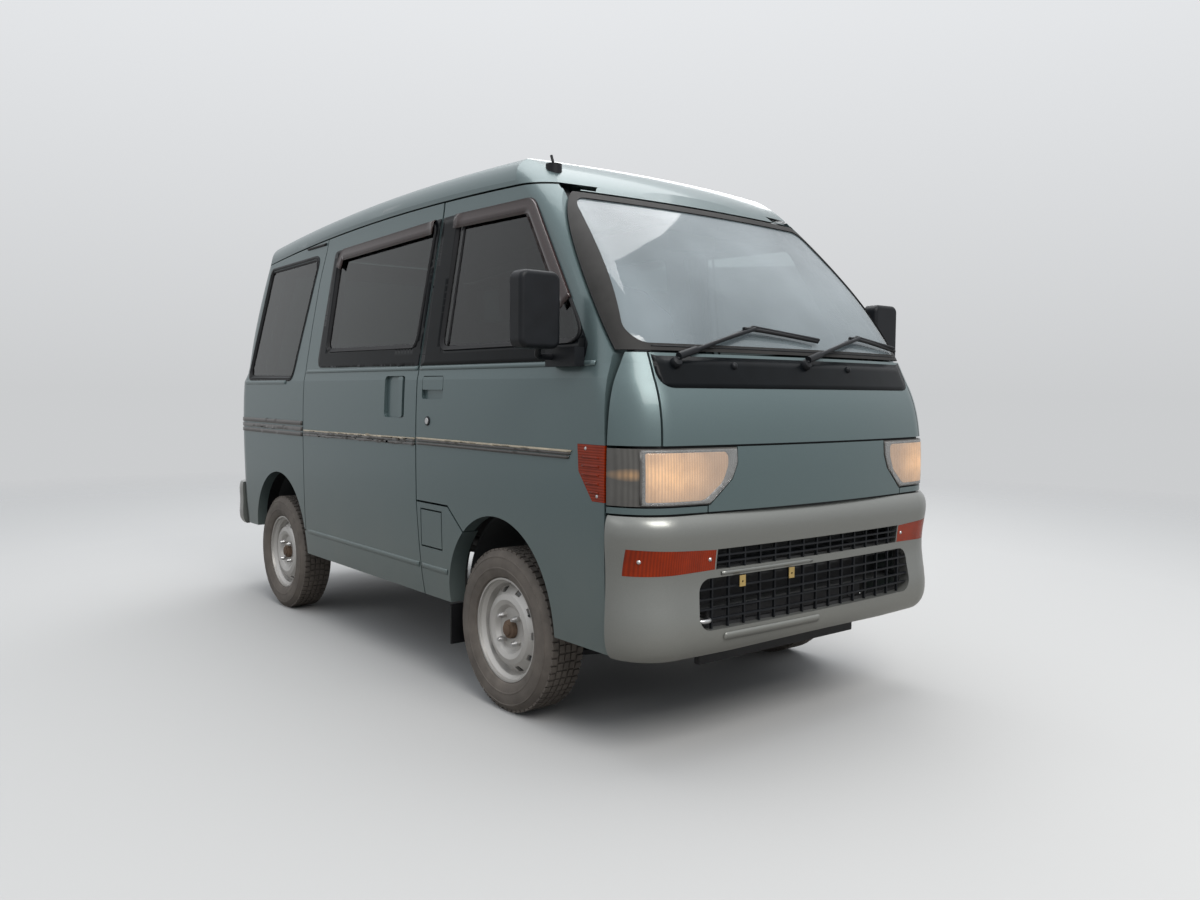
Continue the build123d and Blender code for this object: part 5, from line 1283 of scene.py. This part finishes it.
class VAN_OT_tail(bpy.types.Operator):
    """Tailgate garnish, blank plate, wiper and window band"""
    bl_idname = "van.tail"
    bl_label = "Tail details"

    def execute(self, context):
        gate = on_rear("tailgate", "tailgate_glass")
        panel = on_rear("tailgate")
        glass = rounded(grown([(-0.500, 1.120), (-0.430, 1.600), (0.430, 1.600), (0.500, 1.120)], 0.0045), 0.05)
        band = rounded([(-0.522, 1.102), (-0.450, 1.618), (0.450, 1.618), (0.522, 1.102)], 0.06)
        cladding("gate_window_seal", band, panel, "rubber", "tailgate", holes=[glass], lift=0.0020, step=0.012)
        recess = rounded([(-0.215, 0.700), (-0.215, 0.840), (0.215, 0.840), (0.215, 0.700)], 0.018)
        cladding("gate_plate_bed", recess, panel, "plastic", "tailgate", lift=0.0012, step=0.03, grid=0.04)
        plate = rounded([(-0.165, 0.712), (-0.165, 0.800), (0.165, 0.800), (0.165, 0.712)], 0.008)
        cladding("gate_plate", plate, panel, "plate", "tailgate", lift=0.0035, step=0.03, grid=0.05)
        bead("gate_garnish", [(-0.28, 0.866), (0.28, 0.866)], panel, 0.018, 0.012, "plastic", "tailgate", "black_plastic")
        spots = [panel(x, 0.756) for x in (-0.105, 0.105)]
        screws("gate_plate_screws", [(p + n * 0.004, n) for p, n in spots if p], 0.006, 0.003, "steel", "tailgate")
        pivot, facing = panel(0.02, 1.080)
        turned("rear_wiper_pivot", [(0.020, -0.002), (0.020, 0.012), (0.015, 0.018)], 28, pivot, facing, "plastic",
               "tailgate")
        arm = [gate(x, z) for x, z in ((0.02, 1.080), (-0.10, 1.128), (-0.22, 1.150), (-0.34, 1.152))]
        tube("rear_wiper_arm", [p + n * 0.014 for p, n in arm], 0.0055, "plastic", "tailgate")
        blade = [gate(x, z) for x, z in ((-0.10, 1.142), (-0.22, 1.146), (-0.34, 1.148), (-0.42, 1.148))]
        tube("rear_wiper_blade", [p + n * 0.006 for p, n in blade], 0.0045, "rubber", "tailgate")
        return {"FINISHED"}


# Seats

def pad(low, high, round_r, crown, lean=0.0):
    """Unfinished cushion: a crowned box that leans back with height."""
    middle = [(a + b) / 2 for a, b in zip(low, high)]
    half = [(b - a) / 2 for a, b in zip(low, high)]

    def shape(co):
        u = [(c - m) / h for c, m, h in zip(co, middle, half)]
        thin = min(range(3), key=lambda k: half[k])
        swell = crown * (1 - min(1, sum(u[k] ** 2 for k in range(3) if k != thin)) ** 1.5)
        out = list(co)
        out[thin] += math.copysign(swell, u[thin]) if abs(u[thin]) > 0.3 else 0.0
        out[1] += (out[2] - low[2]) * lean
        return out

    bm = bmesh.new()
    bmesh.ops.create_cube(bm, size=1.0)
    for v in bm.verts:
        v.co = Vector([m + 2 * c * h for m, c, h in zip(middle, v.co, half)])
    bmesh.ops.bevel(bm, geom=bm.edges[:], offset=round_r, segments=3, profile=0.5, affect="EDGES")
    bmesh.ops.subdivide_edges(bm, edges=bm.edges[:], cuts=3, use_grid_fill=True)
    for v in bm.verts:
        v.co = Vector(shape(v.co))
    bmesh.ops.recalc_face_normals(bm, faces=bm.faces)
    mesh = bpy.data.meshes.new("pad")
    bm.to_mesh(mesh)
    bm.free()
    obj = bpy.data.objects.new("pad", mesh)
    bpy.context.scene.collection.objects.link(obj)
    return obj


def puffed(obj, voxel, reach):
    """Swell a closed shape with a cloth simulation, no point further than reach."""
    bpy.context.view_layer.objects.active = obj
    remesh = obj.modifiers.new("Remesh", "REMESH")
    remesh.mode = "VOXEL"
    remesh.voxel_size = voxel
    graph = bpy.context.evaluated_depsgraph_get()
    mesh = bpy.data.meshes.new_from_object(obj.evaluated_get(graph))
    obj.modifiers.clear()
    obj.data = mesh
    start = [v.co.copy() for v in mesh.vertices]
    cloth = obj.modifiers.new("Cloth", "CLOTH")
    cloth.settings.use_pressure = True
    cloth.settings.uniform_pressure_force = 4.0
    cloth.settings.effector_weights.gravity = 0
    cloth.settings.quality = 4
    cloth.point_cache.frame_start = 1
    cloth.point_cache.frame_end = 20
    for number in range(1, 21):
        bpy.context.scene.frame_set(number)
    graph = bpy.context.evaluated_depsgraph_get()
    swollen = bpy.data.meshes.new_from_object(obj.evaluated_get(graph))
    obj.modifiers.clear()
    for v, was in zip(swollen.vertices, start):
        move = v.co - was
        if move.length > reach:
            v.co = was + move.normalized() * reach
    obj.data = swollen
    bpy.context.scene.frame_set(1)
    return obj


class VAN_OT_seats(bpy.types.Operator):
    """Padded front seats and rear bench"""
    bl_idname = "van.seats"
    bl_label = "Seats"

    def execute(self, context):
        low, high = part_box("front_seats")
        parts = []
        front_y = FRONT_AXLE_Y - 0.190
        for x in (-0.305, 0.305):
            parts.append(pad((x - 0.222, front_y + 0.012, low[2] + 0.010), (x + 0.222, front_y + 0.430, low[2] + 0.108),
                             0.035, 0.004))
            parts.append(pad((x - 0.222, front_y + 0.452, low[2] + 0.112), (x + 0.222, front_y + 0.530, 1.276),
                             0.030, 0.004, 0.19))
            parts.append(pad((x - 0.108, front_y + 0.582, 1.292), (x + 0.108, front_y + 0.632, high[2] - 0.012),
                             0.020, 0.004))
        front = merged("front_seat_pads", parts)
        low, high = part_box("rear_bench")
        back_y = low[1]
        parts = [
            pad((low[0] + 0.014, back_y + 0.014, low[2] + 0.012), (high[0] - 0.014, back_y + 0.430, low[2] + 0.214),
                0.040, 0.005),
            pad((low[0] + 0.014, back_y + 0.452, low[2] + 0.224), (high[0] - 0.014, back_y + 0.536, high[2] - 0.016),
                0.030, 0.005, 0.19),
        ]
        rear = merged("rear_bench_pads", parts)
        for obj, node in ((front, "front_seats"), (rear, "rear_bench")):
            puffed(obj, 0.013, 0.009)
            finer = obj.modifiers.new("Smooth", "SUBSURF")
            finer.levels = 1
            finer.render_levels = 1
            adopt(obj, "cloth", "body", 50, replaces=(node,))
        return {"FINISHED"}


# Stage

PHOTO_SIZE = (1200, 900)
CAMERA_AT = (-2.3426, -3.5057, 1.0208)
CAMERA_YAW = 38.67
CAMERA_PITCH = 3.40
CAMERA_ROLL = 0.44
CAMERA_FOCAL_PX = 972.7


def area_lamp(name, place, target, size, power, tint=(1, 1, 1)):
    data = bpy.data.lights.new(name, "AREA")
    data.shape = "RECTANGLE"
    data.size, data.size_y = size
    data.energy = power
    data.color = tint
    lamp = bpy.data.objects.new(name, data)
    bpy.context.scene.collection.objects.link(lamp)
    lamp.location = place
    lamp.rotation_mode = "QUATERNION"
    lamp.rotation_quaternion = (Vector(target) - Vector(place)).to_track_quat("-Z", "Y")


class VAN_OT_stage(bpy.types.Operator):
    """Floor, soft studio light and the camera"""
    bl_idname = "van.stage"
    bl_label = "Stage"

    def execute(self, context):
        scene = context.scene
        bpy.ops.mesh.primitive_plane_add(size=60, location=(0, 0, CAD_BOX[0][2]))
        floor = context.object
        floor.name = "floor"
        material, nodes, links, shader = new_material("Pale floor")
        ray = nodes.new("ShaderNodeLightPath").outputs["Is Camera Ray"]
        links.new(blend_colour(nodes, links, ray, (0.26, 0.25, 0.235), (0.44, 0.435, 0.425)), shader.inputs["Base Color"])
        reach = nodes.new("ShaderNodeVectorMath")
        reach.operation = "LENGTH"
        links.new(nodes.new("ShaderNodeTexCoord").outputs["Object"], reach.inputs[0])
        links.new(ramp(nodes, links, reach.outputs["Value"], 3.6, 9.0, 1.0, 0.0), shader.inputs["Alpha"])
        shader.inputs["Roughness"].default_value = 0.9
        floor.data.materials.append(material)
        world = bpy.data.worlds.new("Soft sky")
        scene.world = world
        world.use_nodes = True
        tree = world.node_tree
        background = tree.nodes["Background"]
        rays = tree.nodes.new("ShaderNodeLightPath").outputs
        seen = maths(tree.nodes, tree.links, "MAXIMUM", rays["Is Camera Ray"], rays["Is Transmission Ray"])
        seen = maths(tree.nodes, tree.links, "MAXIMUM", seen, rays["Is Glossy Ray"])
        split = tree.nodes.new("ShaderNodeSeparateXYZ")
        tree.links.new(tree.nodes.new("ShaderNodeTexCoord").outputs["Generated"], split.inputs[0])
        height = ramp(tree.nodes, tree.links, split.outputs["Z"], 0.0, 0.75)
        dome = blend_colour(tree.nodes, tree.links, height, (0.10, 0.105, 0.11), (0.98, 1.04, 1.12))
        pale = blend_colour(tree.nodes, tree.links, height, (0.60, 0.61, 0.62), (1.0, 1.02, 1.05))
        tone = blend_colour(tree.nodes, tree.links, seen, dome, pale)
        tree.links.new(tone, background.inputs["Color"])
        background.inputs["Strength"].default_value = 1.0
        area_lamp("key", (-1.6, -6.8, 6.6), (0, 0, 0.8), (5, 4), 470, (1.0, 0.98, 0.95))
        area_lamp("fill", (-7.5, 1.5, 4.5), (0, 0, 0.9), (5, 3), 25)
        area_lamp("top", (1.0, 1.0, 7.0), (0, 0, 1.0), (6, 6), 300)
        area_lamp("rim", (6.0, 5.0, 4.0), (0, 0, 1.0), (4, 3), 160)
        data = bpy.data.cameras.new("camera")
        camera = bpy.data.objects.new("camera", data)
        scene.collection.objects.link(camera)
        data.sensor_width = 36.0
        data.lens = CAMERA_FOCAL_PX / PHOTO_SIZE[0] * data.sensor_width
        yaw, pitch, roll = (math.radians(v) for v in (CAMERA_YAW, CAMERA_PITCH, CAMERA_ROLL))
        forward = Vector((math.sin(yaw) * math.cos(pitch), math.cos(yaw) * math.cos(pitch), -math.sin(pitch)))
        right = Vector((math.cos(yaw), -math.sin(yaw), 0))
        up = right.cross(forward)
        right, up = (
            math.cos(roll) * right + math.sin(roll) * up,
            math.cos(roll) * up - math.sin(roll) * right,
        )
        camera.matrix_world = Matrix((
            (right.x, up.x, -forward.x, CAMERA_AT[0]),
            (right.y, up.y, -forward.y, CAMERA_AT[1]),
            (right.z, up.z, -forward.z, CAMERA_AT[2]),
            (0, 0, 0, 1),
        ))
        scene.camera = camera
        scene.view_settings.view_transform = "Standard"
        return {"FINISHED"}


class VAN_PT_panel(bpy.types.Panel):
    """Lists the van's sizes, colours and pieces"""
    bl_idname = "VAN_PT_panel"
    bl_label = "Small van"
    bl_space_type = "VIEW_3D"
    bl_region_type = "UI"
    bl_category = "Van"

    def draw(self, context):
        for group in (context.scene.van_paint, context.scene.van_sizes):
            for key in group.__annotations__:
                self.layout.prop(group, key)
        for operator in OPERATORS:
            self.layout.operator(operator.bl_idname)


OPERATORS = (
    VAN_OT_finishes, VAN_OT_trees, VAN_OT_windows, VAN_OT_stripes, VAN_OT_lamps, VAN_OT_front, VAN_OT_mirrors, VAN_OT_cabin,
    VAN_OT_wheels, VAN_OT_tail, VAN_OT_seats, VAN_OT_stage,
)
CLASSES = (VanPaint, VanSizes, *OPERATORS, VAN_PT_panel)


def register():
    for cls in CLASSES:
        bpy.utils.register_class(cls)
    bpy.types.Scene.van_paint = bpy.props.PointerProperty(type=VanPaint)
    bpy.types.Scene.van_sizes = bpy.props.PointerProperty(type=VanSizes)


def unregister():
    del bpy.types.Scene.van_sizes
    del bpy.types.Scene.van_paint
    for cls in reversed(CLASSES):
        bpy.utils.unregister_class(cls)


def main():
    register()
    for operator in OPERATORS:
        family, name = operator.bl_idname.split(".")
        getattr(getattr(bpy.ops, family), name)()
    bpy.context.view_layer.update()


if __name__ == "__main__":
    main()
